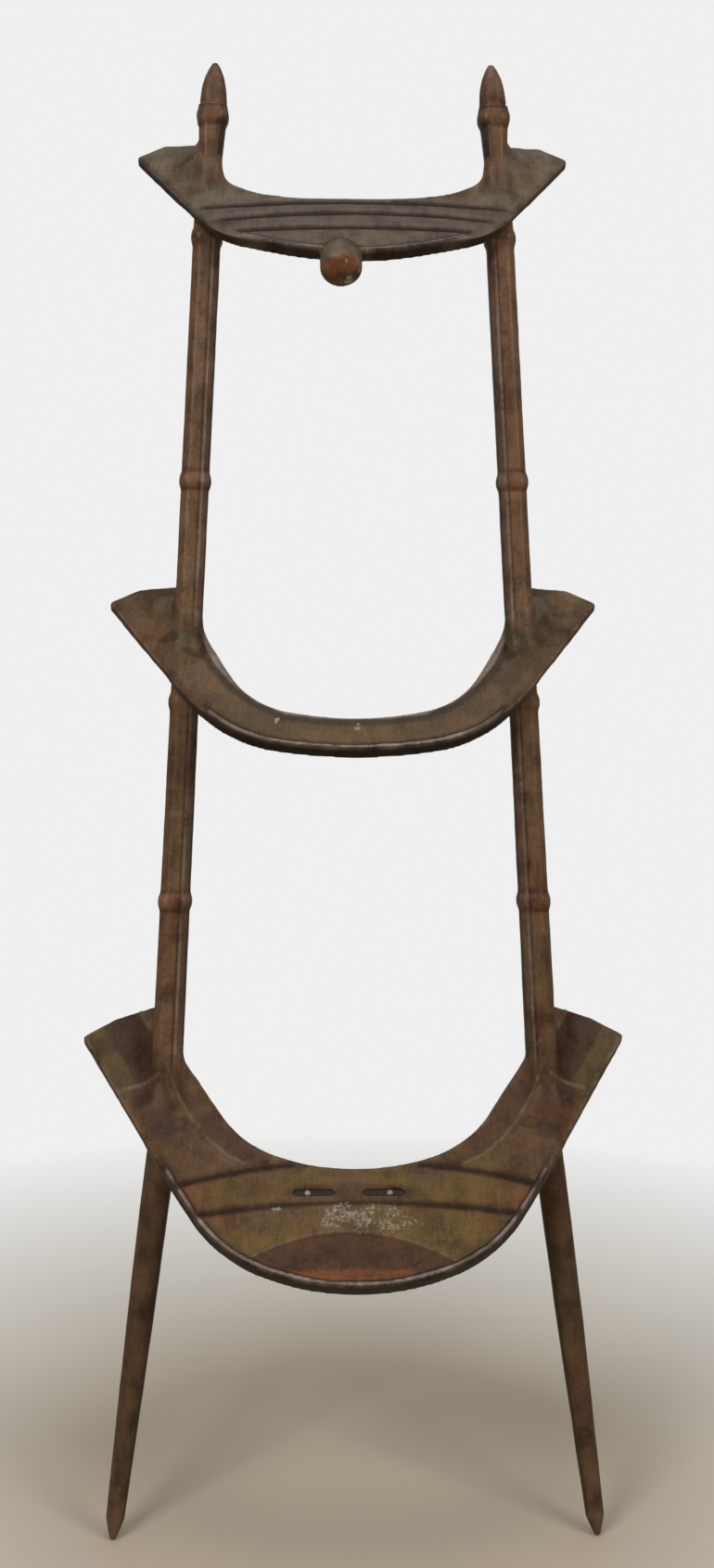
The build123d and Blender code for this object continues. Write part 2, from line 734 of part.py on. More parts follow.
def sleeve(low, high, proud):
    """Eight-sided solid that stands proud of the right-hand shaft between two heights."""
    places = [low, *(up for up, width in shaft_stations() if low < up < high), high]
    return loft([lean_plane(pole_x(up), up) * eight_sided(shaft_width(up), proud) for up in places], ruled=True)


def cuff(bow):
    """Part of a web that wraps the right-hand pole, cut on the slant above the bow."""
    half = shaft_width(bow.height) / 2
    low = bow.height + WEB_INNER_RISE
    high = bow.height + WEB_OUTER_RISE
    inner = lean_point(pole_x(low) - half, low)
    outer = lean_point(pole_x(high) + half, high)
    backward = lean_plane(0, bow.height).y_dir
    slant = Plane(origin=inner, x_dir=outer - inner, z_dir=(outer - inner).cross(backward))
    wrap = sleeve(bow.height - OVERRUN, high + half, WEB_PROUD)
    return split(split(wrap, bisect_by=bow_plane(bow), keep=Keep.TOP), bisect_by=slant, keep=Keep.BOTTOM)


def gusset(bow):
    """Part of a web that fills the corner between the right-hand pole and the ear."""
    axis = pole_x(bow.height)
    half = shaft_width(bow.height) / 2
    front = half / cos(radians(RAKE_ANGLE + LEAN_ANGLE)) + bow.web_front
    reach = half + bow.web_reach_share * bow.ear_reach
    upper = bow.end_rise * WEB_TOP_SHARE
    foot = make_face(Polyline(
        (axis - half, -front),
        (axis + half * WEB_START_SHARE, -front),
        (axis + reach, bow.end_rise * WEB_WAIST_SHARE),
        (axis + reach, upper),
        (axis, upper),
        close=True,
    ))
    top = bow.height + WEB_TIP_RISE
    tip = Vertex(lean_point(pole_x(top) + shaft_width(top) / 2 - WEB_TIP_INSET, top))
    return loft([bow_plane(bow) * foot, tip])


def web(bow, pole):
    """Hide web on the right-hand side: the cuff and the gusset as one skin."""
    return cuff(bow) + gusset(bow) - pole


# The whole frame


def saddle():
    """All pieces by name."""
    shaft = side_pole()
    poles = [shaft, mirrored(shaft)]
    nodes = {
        "right_side_pole": shaft - tenon(),
        "right_leg": leg(),
    }
    for name, up in collar_heights().items():
        nodes[f"right_{name}"] = collar(up, shaft)
    bottom = bottom_bow(poles)
    nodes["right_top_bow_web"] = web(TOP_BOW, shaft)
    nodes["right_mid_bow_web"] = web(MID_BOW, shaft)
    nodes["right_bottom_bow_web"] = web(BOTTOM_BOW, shaft) - bottom["right_bottom_bow_cross_tie"]
    for name in list(nodes):
        nodes[name.replace("right", "left")] = mirrored(nodes[name])
    return nodes | top_bow(poles) | mid_bow(poles) | bottom


def main():
    """Write every piece, with the origin under the middle of the frame at floor level."""
    nodes = saddle()
    box = Compound(children=[Compound(piece.solids()) for piece in nodes.values()]).bounding_box()
    middle = Pos(0, -(box.min.Y + box.max.Y) / 2, -box.min.Z)
    os.makedirs("parts", exist_ok=True)
    for name, piece in nodes.items():
        export_step(middle * piece, f"parts/{name}.step")
    print("solid counts", {name: len(piece.solids()) for name, piece in nodes.items() if len(piece.solids()) != 1})
    print("size", box.size, "shift", -(box.min.Y + box.max.Y) / 2, -box.min.Z)


main()
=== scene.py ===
"""Camel saddle frame, dressed in old rawhide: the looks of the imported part."""

import logging
import math
from dataclasses import dataclass
from enum import Enum

import bpy
import numpy as np
from bpy.types import Material, Node, NodeSocket, NodeTree, Object
from mathutils import Matrix, Vector, noise


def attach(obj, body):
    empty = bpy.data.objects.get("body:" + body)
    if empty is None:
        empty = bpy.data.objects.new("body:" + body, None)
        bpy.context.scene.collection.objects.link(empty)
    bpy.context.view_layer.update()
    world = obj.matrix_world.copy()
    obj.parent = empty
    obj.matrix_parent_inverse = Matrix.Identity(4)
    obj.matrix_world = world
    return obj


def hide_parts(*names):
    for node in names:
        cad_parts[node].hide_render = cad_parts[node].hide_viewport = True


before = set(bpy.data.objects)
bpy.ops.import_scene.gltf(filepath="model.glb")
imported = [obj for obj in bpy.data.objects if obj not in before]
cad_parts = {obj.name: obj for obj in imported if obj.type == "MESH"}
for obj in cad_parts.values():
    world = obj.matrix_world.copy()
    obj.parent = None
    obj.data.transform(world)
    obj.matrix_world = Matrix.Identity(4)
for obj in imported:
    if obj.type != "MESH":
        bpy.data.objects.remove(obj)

logging.basicConfig(level=logging.INFO, format="%(message)s")
log = logging.getLogger("saddle")

Rows = np.ndarray
Place = tuple[float, float]
Path = tuple[Place, ...]
Span = tuple[float, float]
Window = tuple[float, float, float, float]
Triple = tuple[float, float, float]

BODY = "root"
MM = 0.001
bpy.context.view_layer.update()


class Side(Enum):
    """The two sides of the frame, seen from the front."""

    LEFT = -1
    RIGHT = 1

    @property
    def prefix(self) -> str:
        """Start of the node names of this side."""
        return self.name.lower()


def on_both_sides(*parts: str) -> list[str]:
    """Node names of the same parts on both sides."""
    return [f"{side.prefix}_{part}" for side in Side for part in parts]


# Pose and places


@dataclass(frozen=True)
class Pose:
    """The leaning pose of the frame."""

    lean: float = math.radians(11.5)
    rake: float = math.radians(42.0)
    foot_line: float = -125.96 * MM
    floor_lift: float = 0.55 * MM

    @property
    def up(self) -> Vector:
        """Direction up the poles, without their splay."""
        return Vector((0.0, math.sin(self.lean), math.cos(self.lean)))

    @property
    def down_slope(self) -> Vector:
        """Direction down the face of a bow."""
        return Vector((0.0, -math.cos(self.rake), -math.sin(self.rake)))

    @property
    def out_of_face(self) -> Vector:
        """Normal of the face of a bow."""
        return Vector((0.0, -math.sin(self.rake), math.cos(self.rake)))

    def on_lean(self, x: float, up: float) -> Vector:
        """A point in the plane of the poles, by its place across and its height up the lean."""
        return Vector((x, self.foot_line, self.floor_lift)) + self.up * up


POSE = Pose()
FOOT = np.array(POSE.on_lean(0.0, 0.0))
UP = np.array(POSE.up)
DOWN_SLOPE = np.array(POSE.down_slope)
OUT_OF_FACE = np.array(POSE.out_of_face)


@dataclass(frozen=True)
class Face:
    """The face plane of a bow, where it crosses the poles."""

    height: float
    axis: float
    thickness: float

    @property
    def origin(self) -> Vector:
        """Middle of the face, on the line between the poles."""
        return POSE.on_lean(0.0, self.height)


TOP_FACE = Face(height=1.364, axis=0.1473, thickness=0.013)
MID_FACE = Face(height=0.896, axis=0.1688, thickness=0.013)
BOTTOM_FACE = Face(height=0.456, axis=0.1891, thickness=0.015)
SPLAY = 0.046


def lean_height(points: Rows) -> Rows:
    """Height of each point up the lean."""
    return (points - FOOT) @ UP


def pole_axis(up: Rows) -> Rows:
    """Distance of a pole's axis from the middle of the frame, at heights up the lean."""
    return TOP_FACE.axis - SPLAY * (up - TOP_FACE.height)


# Mesh tools


def deselect() -> None:
    """Leave edit mode and select nothing."""
    if bpy.context.object and bpy.context.object.mode != "OBJECT":
        bpy.ops.object.mode_set(mode="OBJECT")
    bpy.ops.object.select_all(action="DESELECT")


def choose(obj: Object) -> None:
    """Make one object the selected and active one.

    Args:
        obj: The object.
    """
    deselect()
    obj.select_set(True)
    bpy.context.view_layer.objects.active = obj


def edit_all(piece: Object) -> None:
    """Go to edit mode with the whole mesh of a piece selected.

    Args:
        piece: The object.
    """
    choose(piece)
    bpy.ops.object.mode_set(mode="EDIT")
    bpy.ops.mesh.select_all(action="SELECT")


def copy_of(node: str) -> Object:
    """A merged copy of a CAD node's mesh.

    Args:
        node: Name of the node.

    Returns:
        The new object, at the origin.
    """
    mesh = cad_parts[node].data.copy()
    mesh.materials.clear()
    piece = bpy.data.objects.new(f"copy_{node}", mesh)
    bpy.context.scene.collection.objects.link(piece)
    edit_all(piece)
    bpy.ops.mesh.remove_doubles(threshold=0.00001)
    bpy.ops.object.mode_set(mode="OBJECT")
    return piece


def cut(piece: Object, planes: tuple[tuple[Vector, Vector, bool], ...], swell: float = 0.0) -> None:
    """Cut a piece with planes, close the cuts and swell what is left.

    Args:
        piece: The object.
        planes: A point, the direction square to the plane, and whether what lies that way goes.
        swell: Distance by which the surface moves outwards.
    """
    edit_all(piece)
    for place, square, beyond in planes:
        bpy.ops.mesh.bisect(
            plane_co=place, plane_no=square, use_fill=True, clear_inner=not beyond, clear_outer=beyond
        )
        bpy.ops.mesh.select_all(action="SELECT")
    if swell:
        bpy.ops.transform.shrink_fatten(value=swell)
    bpy.ops.object.mode_set(mode="OBJECT")


def joined(pieces: list[Object], name: str) -> Object:
    """Join several objects into one.

    Args:
        pieces: The objects, of which the first survives.
        name: Name of the result.

    Returns:
        The joined object.
    """
    deselect()
    for piece in pieces:
        piece.select_set(True)
    bpy.context.view_layer.objects.active = pieces[0]
    bpy.ops.object.join()
    pieces[0].name = name
    pieces[0].data.name = name
    return pieces[0]


def rows_of(items: bpy.types.bpy_prop_collection, key: str, width: int, kind: type = float) -> Rows:
    """Read one property of all items of a mesh.

    Args:
        items: The items, such as its vertices.
        key: Name of the property.
        width: How many numbers it has.
        kind: Type of the numbers.

    Returns:
        One row for each item.
    """
    flat = np.empty(len(items) * width, dtype=kind)
    items.foreach_get(key, flat)
    return flat.reshape(-1, width)


def points_of(piece: Object) -> Rows:
    """Places of all vertices as an array of rows."""
    return rows_of(piece.data.vertices, "co", 3)


def normals_of(piece: Object) -> Rows:
    """Normals of all vertices as an array of rows."""
    return rows_of(piece.data.vertex_normals, "vector", 3)


def edges_of(piece: Object) -> Rows:
    """Pairs of vertex numbers of all edges."""
    return rows_of(piece.data.edges, "vertices", 2, np.int32)


def set_points(piece: Object, points: Rows) -> None:
    """Write the places of all vertices back."""
    piece.data.vertices.foreach_set("co", points.ravel())
    piece.data.update()


def smoothed(values: Rows, edges: Rows, rounds: int, share: Rows | float = 0.5) -> Rows:
    """Average values over neighbouring vertices.

    Args:
        values: One row for each vertex.
        edges: Pairs of vertex numbers.
        rounds: How often to average.
        share: How far each vertex goes to its neighbours' mean.

    Returns:
        The averaged rows.
    """
    count = np.bincount(edges.ravel(), minlength=len(values)).astype(float)
    count = np.maximum(count, 1.0)[:, None]
    for _ in range(rounds):
        total = np.zeros_like(values)
        for axis in range(values.shape[1]):
            for here, there in ((0, 1), (1, 0)):
                total[:, axis] += np.bincount(edges[:, here], values[edges[:, there], axis], len(values))
        values = values + (total / count - values) * share
    return values


def store(piece: Object, name: str, values: Rows) -> None:
    """Keep a colour or three masks on the vertices of a piece.

    Args:
        piece: The object.
        name: Name of the colour attribute.
        values: Three columns from 0 to 1.
    """
    layer = piece.data.color_attributes.new(name=name, type="FLOAT_COLOR", domain="POINT")
    rows = np.ones((len(values), 4))
    rows[:, : values.shape[1]] = np.clip(values, 0.0, 1.0)
    layer.data.foreach_set("color", rows.ravel())


# Soft masks, from 0 to 1 for each vertex


def ramp(values: Rows, low: float, high: float) -> Rows:
    """Smooth step from 0 at low to 1 at high."""
    share = np.clip((values - low) / (high - low), 0.0, 1.0)
    return share * share * (3.0 - 2.0 * share)


def fall(values: Rows, low: float, high: float) -> Rows:
    """Smooth step from 1 at low to 0 at high."""
    return ramp(-values, -high, -low)


def band(away: Rows, core: float, reach: float) -> Rows:
    """Soft band: 1 up to the core distance on both sides, 0 from the reach on."""
    return fall(np.abs(away), core, reach)


def window(values: Rows, limits: Window) -> Rows:
    """Rise over the first two limits, fall over the last two."""
    return ramp(values, *limits[:2]) * fall(values, *limits[2:])


def lumps(points: Rows, size: float, seed: float) -> Rows:
    """Soft noise from about -1 to 1, by the size of a lump and a seed that tells noises apart."""
    shift = Vector((seed, seed * 1.7, -seed))
    return np.array([noise.noise(Vector(row) / size + shift) for row in points])


@dataclass(frozen=True)
class Oval:
    """Soft oval in the plane of a bow: its middle, half sizes and turn in degrees."""

    middle: Place
    half: Place
    turn: float = 0.0
    edge: Span = (0.6, 1.15)

    def mask(self, across: Rows, up: Rows) -> Rows:
        """How far each place is inside the oval.

        Args:
            across: Places across the bow.
            up: Places up the rake.

        Returns:
            One value for each place, from 0 to 1.
        """
        c, s = math.cos(math.radians(self.turn)), math.sin(math.radians(self.turn))
        dx, dy = across - self.middle[0], up - self.middle[1]
        reach = np.hypot((dx * c + dy * s) / self.half[0], (dy * c - dx * s) / self.half[1])
        return 1.0 - ramp(reach, *self.edge)


@dataclass(frozen=True)
class Arc:
    """Flat arc across a bow: its depth in the middle, and its sag at a half width."""

    depth: float
    sag: float
    half: float


@dataclass
class Flat:
    """Places of points on a bow: across it, up its rake, and over its face."""

    points: Rows
    face: Face

    def __post_init__(self) -> None:
        """Lay the points out on the bow."""
        away = self.points - np.array(self.face.origin)
        self.x, self.up, self.over = self.points[:, 0], -(away @ DOWN_SLOPE), away @ OUT_OF_FACE
        self.out = np.abs(self.x)

    def inside(self, oval: Oval, shift: Rows | float = 0.0) -> Rows:
        """How far each place is inside an oval on the right half or its mirror image."""
        return oval.mask(self.out + shift, self.up + shift)

    def within(self, oval: Oval) -> Rows:
        """How far each place is inside an oval that isn't mirrored."""
        return oval.mask(self.x, self.up)

    def above(self, arc: Arc, shift: float = 0.0) -> Rows:
        """Distance above an arc whose middle may be shifted across."""
        return arc.depth + arc.sag * ((self.x - shift) / arc.half) ** 2 + self.up

    def left_of(self, start: Place, stop: Place) -> Rows:
        """Signed distance to the left of a line on the right half, or its mirror image."""
        dx, dy = stop[0] - start[0], stop[1] - start[1]
        return (dx * (self.up - start[1]) - dy * (self.out - start[0])) / math.hypot(dx, dy)

    def near(self, path: Path) -> Rows:
        """Distance from a path on the right half, or its mirror image.

        Args:
            path: Points of the path.

        Returns:
            One distance for each place.
        """
        best = np.full(len(self.out), 1.0)
        for start, stop in zip(path, path[1:]):
            dx, dy = stop[0] - start[0], stop[1] - start[1]
            px, py = self.out - start[0], self.up - start[1]
            share = np.clip((px * dx + py * dy) / (dx * dx + dy * dy), 0.0, 1.0)
            best = np.minimum(best, np.hypot(px - share * dx, py - share * dy))
        return best


# Colours of the hide, and of painted shade and painted highlights


class Tone(Enum):
    """Colours that the old hide shows, as linear values; the dark tone also serves as painted shade, and
    the last, palest tone is the colour of painted highlights.
    """

    BROWN = (0.118, 0.062, 0.030)
    OLIVE = (0.068, 0.044, 0.018)
    GREY_OLIVE = (0.102, 0.075, 0.047)
    OCHRE = (0.115, 0.066, 0.017)
    RUST = (0.175, 0.058, 0.018)
    RED_BROWN = (0.070, 0.027, 0.012)
    DARK = (0.018, 0.010, 0.006)
    PURPLE = (0.050, 0.023, 0.014)
    LILAC = (0.078, 0.056, 0.045)
    PALE = (0.150, 0.112, 0.070)
    # Colour of painted highlights along arrises, crests and facet edges.
    GLOSS = (0.270, 0.220, 0.195)

    @property
    def row(self) -> Rows:
        """The colour as an array."""
        return np.array(self.value)


Spots = tuple[tuple[Tone, float, Oval], ...]


class Coat:
    """The colours of a skin, laid on tone by tone over a first one."""

    def __init__(self, points: Rows, tone: Tone) -> None:
        """Start with one tone at all points."""
        self.points = points
        self.tint = np.tile(tone.row, (len(points), 1))

    def lay(self, tone: Tone, share: Rows) -> None:
        """Lay a tone over the colours, by a share from 0 to 1 for each vertex."""
        share = np.clip(share, 0.0, 1.0)[:, None]
        self.tint = self.tint * (1.0 - share) + tone.row * share

    def lumps(self, size: float, seed: float) -> Rows:
        """Soft noise at the vertices, by the size of a lump and a seed."""
        return lumps(self.points, size, seed)


class BowCoat(Coat, Flat):
    """The colours of a bow's hide, with the places of its vertices on the bow."""

    def __init__(self, points: Rows, normals: Rows, bow: "BowHide") -> None:
        """Start with the bow's main colour.

        Args:
            points: Rows of places.
            normals: Rows of normals.
            bow: The bow.
        """
        Coat.__init__(self, points, bow.tone)
        Flat.__init__(self, points, bow.face)
        self.normals = normals
        self.facing = normals @ OUT_OF_FACE
        self.front = ramp(self.facing, *bow.front)

    def lay_spots(self, spots: Spots, mask: Rows | float = 1.0) -> None:
        """Lay soft ovals over the colours, the same on both sides, where the mask lets them show."""
        for tone, strength, oval in spots:
            self.lay(tone, strength * self.inside(oval) * mask)


@dataclass(frozen=True)
class PoleTintsAndShade:
    """Colours of the hide on the poles and legs, with painted shade and painted highlight lines: heights
    up the lean, and distances inside a pole's axis.
    """

    collars: tuple[float, ...] = (1.433, 1.316, 1.058, 0.857, 0.632)
    collar_half: float = 0.0095
    neck: Window = (1.372, 1.386, 1.426, 1.436)
    neck_facet: Span = (0.0035, 0.0055)
    shaft: Window = (0.44, 0.47, 1.365, 1.375)
    shaft_front: Span = (0.2, 0.5)
    inner_facet: Span = (0.0058, 0.0072)
    gloss_line: float = 0.0078
    inner_arris: float = 0.0050
    inner_wall: Span = (0.66, 0.95)
    outer_wall: Span = (0.80, 1.0)
    leg: Span = (0.30, 0.42)
    finial: Span = (1.425, 1.45)
    grain: Triple = (1.0, 1.0, 0.12)
    gain: float = 1.12

    def tint(self, points: Rows, normals: Rows) -> Rows:
        """Colour of the hide on the poles and legs, with painted shade on the side walls and on the inner
        facet of the neck and a painted highlight line on the inner facet, also where a web runs up onto a
        pole.

        Args:
            points: Rows of places.
            normals: Rows of normals.

        Returns:
            One colour for each vertex.
        """
        coat = Coat(points, Tone.BROWN)
        up = lean_height(points)
        streak = lumps(points * np.array(self.grain), 0.012, 3.0)
        coat.lay(Tone.OLIVE, 0.60 * ramp(coat.lumps(0.06, 9.0) + 0.5 * streak, -0.1, 0.6))
        coat.lay(Tone.RED_BROWN, 0.45 * ramp(coat.lumps(0.09, 21.0), 0.0, 0.6))
        coat.lay(Tone.DARK, 0.40 * ramp(coat.lumps(0.028, 25.0) + 0.4 * streak, 0.15, 0.7))
        coat.lay(Tone.OCHRE, 0.35 * ramp(streak, 0.2, 0.8))
        for place in self.collars:
            coat.lay(Tone.RUST, 0.16 * band(up - place, 0.004, 0.030))
            coat.lay(Tone.DARK, 0.50 * band(np.abs(up - place) - self.collar_half, 0.001, 0.0035))
        inside = pole_axis(up) - np.abs(points[:, 0])
        # Painted shade on the inner facet of the neck.
        coat.lay(Tone.DARK, 0.70 * window(up, self.neck) * ramp(inside, *self.neck_facet))
        shaft = window(up, self.shaft) * ramp(-normals[:, 1], *self.shaft_front)
        coat.lay(Tone.LILAC, 0.35 * shaft * ramp(inside, *self.inner_facet))
        # Painted highlight line on the inner facet.
        highlight = shaft * band(inside - self.gloss_line, 0.0004, 0.0016)
        coat.lay(Tone.GLOSS, 0.30 * highlight * ramp(streak, -0.5, 0.3))
        # A dark line along the inner arris.
        coat.lay(Tone.DARK, 0.65 * shaft * band(inside - self.inner_arris, 0.0005, 0.0018))
        # Painted shade on the side walls that face inwards and outwards.
        inward = -normals[:, 0] * np.sign(points[:, 0])
        coat.lay(Tone.DARK, 0.82 * ramp(inward, *self.inner_wall))
        coat.lay(Tone.DARK, 0.50 * ramp(-inward, *self.outer_wall))
        # Darker low down the legs.
        coat.lay(Tone.DARK, 0.35 * fall(up, *self.leg))
        coat.lay(Tone.DARK, 0.35 * ramp(up, *self.finial))
        return self.gain * coat.tint


# Skins


@dataclass
class Skin:
    """A rawhide skin drawn over pieces of wood."""

    name: str
    nodes: list[str]
    slot: str
    grain: float = 1.6 * MM
    rounds: int = 3
    crossing_rounds: int = 80
    lump: float = 0.30 * MM
    lump_size: float = 0.040
    small_lump_size: float = 0.013
    # Curvature of the arrises that are rubbed and get a painted highlight.
    rubbed_and_highlit: Span = (0.15 * MM, 0.75 * MM)
    hollow: Span = (0.04 * MM, 0.40 * MM)
    seed: float = 1.0

    def shape(self, extra: list[Object]) -> Object:
        """Draw the skin over copies of the nodes, but not of the webs.

        Args:
            extra: More objects to go under the skin.

        Returns:
            The skin as one closed mesh.
        """
        wood = [node for node in self.nodes if not node.endswith("_web")]
        piece = joined([copy_of(node) for node in wood] + extra, self.name)
        choose(piece)
        bpy.ops.object.modifier_add(type="REMESH")
        remesh = piece.modifiers[-1]
        remesh.mode, remesh.voxel_size, remesh.use_smooth_shade = "VOXEL", self.grain, True
        bpy.ops.object.modifier_apply(modifier=remesh.name)
        return piece

    def soften(self, piece: Object, near: Rows) -> None:
        """Round the skin's arrises and give it shallow lumps.

        Args:
            piece: The skin.
            near: Extra softening for each vertex from 0 to 1, as where a pole passes a bow.
        """
        edges = edges_of(piece)
        points = smoothed(points_of(piece), edges, self.rounds)
        points = smoothed(points, edges, self.crossing_rounds, near[:, None] * 0.5)
        set_points(piece, points)
        bump = lumps(points, self.lump_size, self.seed)
        bump = bump + 0.5 * lumps(points, self.small_lump_size, self.seed + 5.0)
        set_points(piece, points + normals_of(piece) * (bump * self.lump)[:, None])

    def wearandhighlight(self, piece: Object, scuff: Rows) -> None:
        """Keep masks for rubbed arrises that also get a painted highlight, hollows and pale scuffs.

        Args:
            piece: The skin.
            scuff: Pale scuffs for each vertex, from 0 to 1.
        """
        edges = edges_of(piece)
        points = points_of(piece)
        wide = ((smoothed(points, edges, 14) - points) * normals_of(piece)).sum(axis=1)
        curve = smoothed(wide[:, None], edges, 5)[:, 0]
        masks = (ramp(-curve, *self.rubbed_and_highlit), ramp(curve, *self.hollow), np.clip(scuff, 0.0, 1.0))
        store(piece, "wearandhighlight", np.stack(masks, axis=1))

    def finish(self, piece: Object, material: Material) -> None:
        """Give the skin its material, and let it stand for its nodes.

        Args:
            piece: The skin.
            material: The hide's material.
        """
        piece.data.materials.clear()
        piece.data.materials.append(material)
        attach(piece, BODY)
        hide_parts(*self.nodes)
        log.info("%s: %d faces", piece.name, len(piece.data.polygons))


@dataclass
class SideHide(Skin):
    """Hide over one side pole, its collars and its leg."""

    joint: float = 0.404
    fuller: float = 0.22
    finial: Window = (1.4465, 1.4490, 1.458, 1.492)

    def build(self, material: Material) -> None:
        """Shape and dress this side.

        Args:
            material: The hide's material.
        """
        piece = self.shape([])
        up = lean_height(points_of(piece))
        self.soften(piece, 0.4 * band(up - self.joint, 0.01, 0.05))
        points = points_of(piece)
        middle = np.sign(points[:, 0]) * pole_axis(up)
        wider = 1.0 + self.fuller * window(up, self.finial)
        points[:, 0] = middle + (points[:, 0] - middle) * wider
        set_points(piece, points)
        store(piece, "tint", PoleTintsAndShade().tint(points, normals_of(piece)))
        self.wearandhighlight(piece, np.zeros(len(points)))
        self.finish(piece, material)


@dataclass
class BowHide(Skin):
    """Hide over one bow, with the webs that run up onto both poles."""

    face: Face = TOP_FACE
    tone: Tone = Tone.GREY_OLIVE
    webs: str = "top_bow_web"
    web_height: float = 0.024
    stub_below: float = 0.062
    stub_above: float = 0.074
    dive: float = -0.45 * MM
    pole_wall: Span = (0.0165, 0.0215)
    web_reach: Span = (0.052, 0.066)
    fold_rise: float = 0.35 * MM
    fold_size: float = 0.018
    face_edge: Span = (-0.004, -0.0015)
    front: Span = (0.5, 0.9)
    rim_depth: Span = (0.060, 0.080)
    # The painted highlight on the rim's crest grows stronger over these depths down the rake.
    rim_highlight_depth: Span = (0.095, 0.130)
    bead_rise: Span = (0.2 * MM, 0.7 * MM)
    crest_rise: Span = (1.40 * MM, 1.75 * MM)
    peg_radius: float = 0.0062

    def stubs(self) -> list[Object]:
        """Cut out the stretches of both poles that the hide runs round, and the low part of each web.

        Returns:
            The new objects.
        """
        pieces = []
        low = POSE.on_lean(0.0, self.face.height - self.stub_below)
        high = POSE.on_lean(0.0, self.face.height + self.stub_above)
        top = self.face.origin + POSE.out_of_face * self.web_height
        for side in Side:
            stub = copy_of(f"{side.prefix}_side_pole")
            cut(stub, ((low, POSE.up, False), (high, POSE.up, True)), self.dive)
            web = copy_of(f"{side.prefix}_{self.webs}")
            cut(web, ((top, POSE.out_of_face, True),))
            pieces += [stub, web]
        return pieces

    def relief(self, flat: Flat) -> Rows:
        """Shallow wrinkles of the hide on the ears.

        Args:
            flat: Places of the vertices on the bow.

        Returns:
            One rise for each vertex.
        """
        rows = np.stack([flat.x, flat.up, flat.over], axis=1)
        folds = lumps(rows * np.array([1.0, 2.2, 1.0]), self.fold_size, self.seed + 60.0)
        return self.fold_rise * folds * ramp(flat.up, -0.06, 0.0)

    def crossing(self, points: Rows) -> Rows:
        """How near each vertex is to where a pole passes the bow.

        Args:
            points: Rows of places.

        Returns:
            One value for each vertex, from 0 to 1.
        """
        away = points - np.array(self.face.origin)
        up = away @ UP
        across = np.abs(points[:, 0]) - (self.face.axis - SPLAY * up)
        back = away @ np.array((0.0, math.cos(POSE.lean), -math.sin(POSE.lean)))
        from_axis = np.hypot(across, back)
        over = away @ OUT_OF_FACE
        below = 0.3 * band(from_axis, 0.019, 0.034) * band(up, 0.060, 0.085)
        off_pole = np.maximum(ramp(from_axis, *self.pole_wall), fall(over, 0.010, 0.026))
        above = band(from_axis, *self.web_reach) * ramp(over, -0.0016, 0.0002)
        return np.maximum(below, above * (0.25 + 0.75 * off_pole))

    def build(self, material: Material) -> None:
        """Shape and dress this bow.

        Args:
            material: The hide's material.
        """
        piece = self.shape(self.stubs())
        self.soften(piece, self.crossing(points_of(piece)))
        points = points_of(piece)
        rise = self.relief(Flat(points, self.face))
        set_points(piece, points + normals_of(piece) * rise[:, None])
        self.finish(piece, material)
        coat = BowCoat(points_of(piece), normals_of(piece), self)
        self.ground(coat)
        scuff = self.paint(coat)
        self.on_webs(coat)
        store(piece, "tint", coat.tint)
        self.wearandhighlight(piece, scuff)

    def paint(self, coat: BowCoat) -> Rows:
        """Lay the bow's own colours and give its pale scuffs; a plain bow has none."""
        return np.zeros(len(coat.points))

    def ground(self, coat: BowCoat) -> None:
        """Mottle the main colour, paint shade on the underside and the side walls, and paint highlights
        along the arrises.

        Args:
            coat: Colours of the bow.
        """
        patch = coat.lumps(0.045, self.seed + 2.0)
        coat.lay(Tone.BROWN, 0.75 * ramp(patch, -0.05, 0.5))
        coat.lay(Tone.RED_BROWN, 0.5 * ramp(coat.lumps(0.03, self.seed + 31.0), 0.1, 0.6))
        # Painted shade where the skin turns away from the face: the underside and the side walls.
        shade = 0.95 * fall(coat.facing, 0.05, 0.55) - 0.40 * ramp(-coat.facing, 0.4, 0.9)
        coat.lay(Tone.DARK, shade * fall(coat.over, 0.0, 0.003))
        # Painted highlight along the arrises of the face.
        arris = window(coat.facing, (0.45, 0.62, 0.80, 0.92)) * ramp(coat.over, -0.004, -0.001)
        arris = arris * (1.0 - self.crossing(coat.points))
        coat.lay(Tone.GLOSS, 0.45 * arris * ramp(patch, -0.5, 0.2))

    def on_rim(self, coat: BowCoat, near: Rows | float = 1.0) -> None:
        """Dark bead with painted shade on its bevels and a thin painted highlight along its crest, along
        the front edge.

        Args:
            coat: Colours of the bow.
            near: How near each vertex is to the front edge, from 0 to 1.
        """
        bead = near * ramp(-coat.up, *self.rim_depth)
        coat.lay(Tone.DARK, 0.75 * bead * ramp(coat.over, *self.bead_rise))
        # Painted shade on the bevels of the bead.
        coat.lay(Tone.DARK, 0.80 * bead * fall(coat.facing, 0.66, 0.88))
        # Painted highlight along the crest of the bead, stronger low down.
        low = 0.40 + 0.60 * ramp(-coat.up, *self.rim_highlight_depth)
        crest = ramp(coat.over, *self.crest_rise) * ramp(coat.facing, 0.80, 0.92)
        coat.lay(Tone.GLOSS, 0.72 * low * bead * crest)

    def on_webs(self, coat: BowCoat) -> None:
        """Let the colours of the poles, with their painted shade and highlights, run down the webs.

        Args:
            coat: Colours of the bow.
        """
        share = ramp(coat.over + 0.004 * coat.lumps(0.018, 90.0), 0.012, 0.030)
        under = self.face.thickness
        share = np.maximum(share, ramp(-coat.over, under + 0.001, under + 0.010))
        wanted = PoleTintsAndShade().tint(coat.points, coat.normals)
        coat.tint = coat.tint + (wanted - coat.tint) * share[:, None]

    def peg_ring(self, coat: BowCoat, peg: Place) -> Rows:
        """Uneven ring round a peg's head.

        Args:
            coat: Colours of the bow.
            peg: Middle of the peg.

        Returns:
            One value for each vertex, from 0 to 1.
        """
        away = np.hypot((coat.out - peg[0]) * 0.8, coat.up - peg[1])
        away = away + 0.0022 * lumps(np.stack([coat.x, coat.up, coat.x], axis=1), 0.008, 12.0)
        return band(away - self.peg_radius, 0.0006, 0.0030)


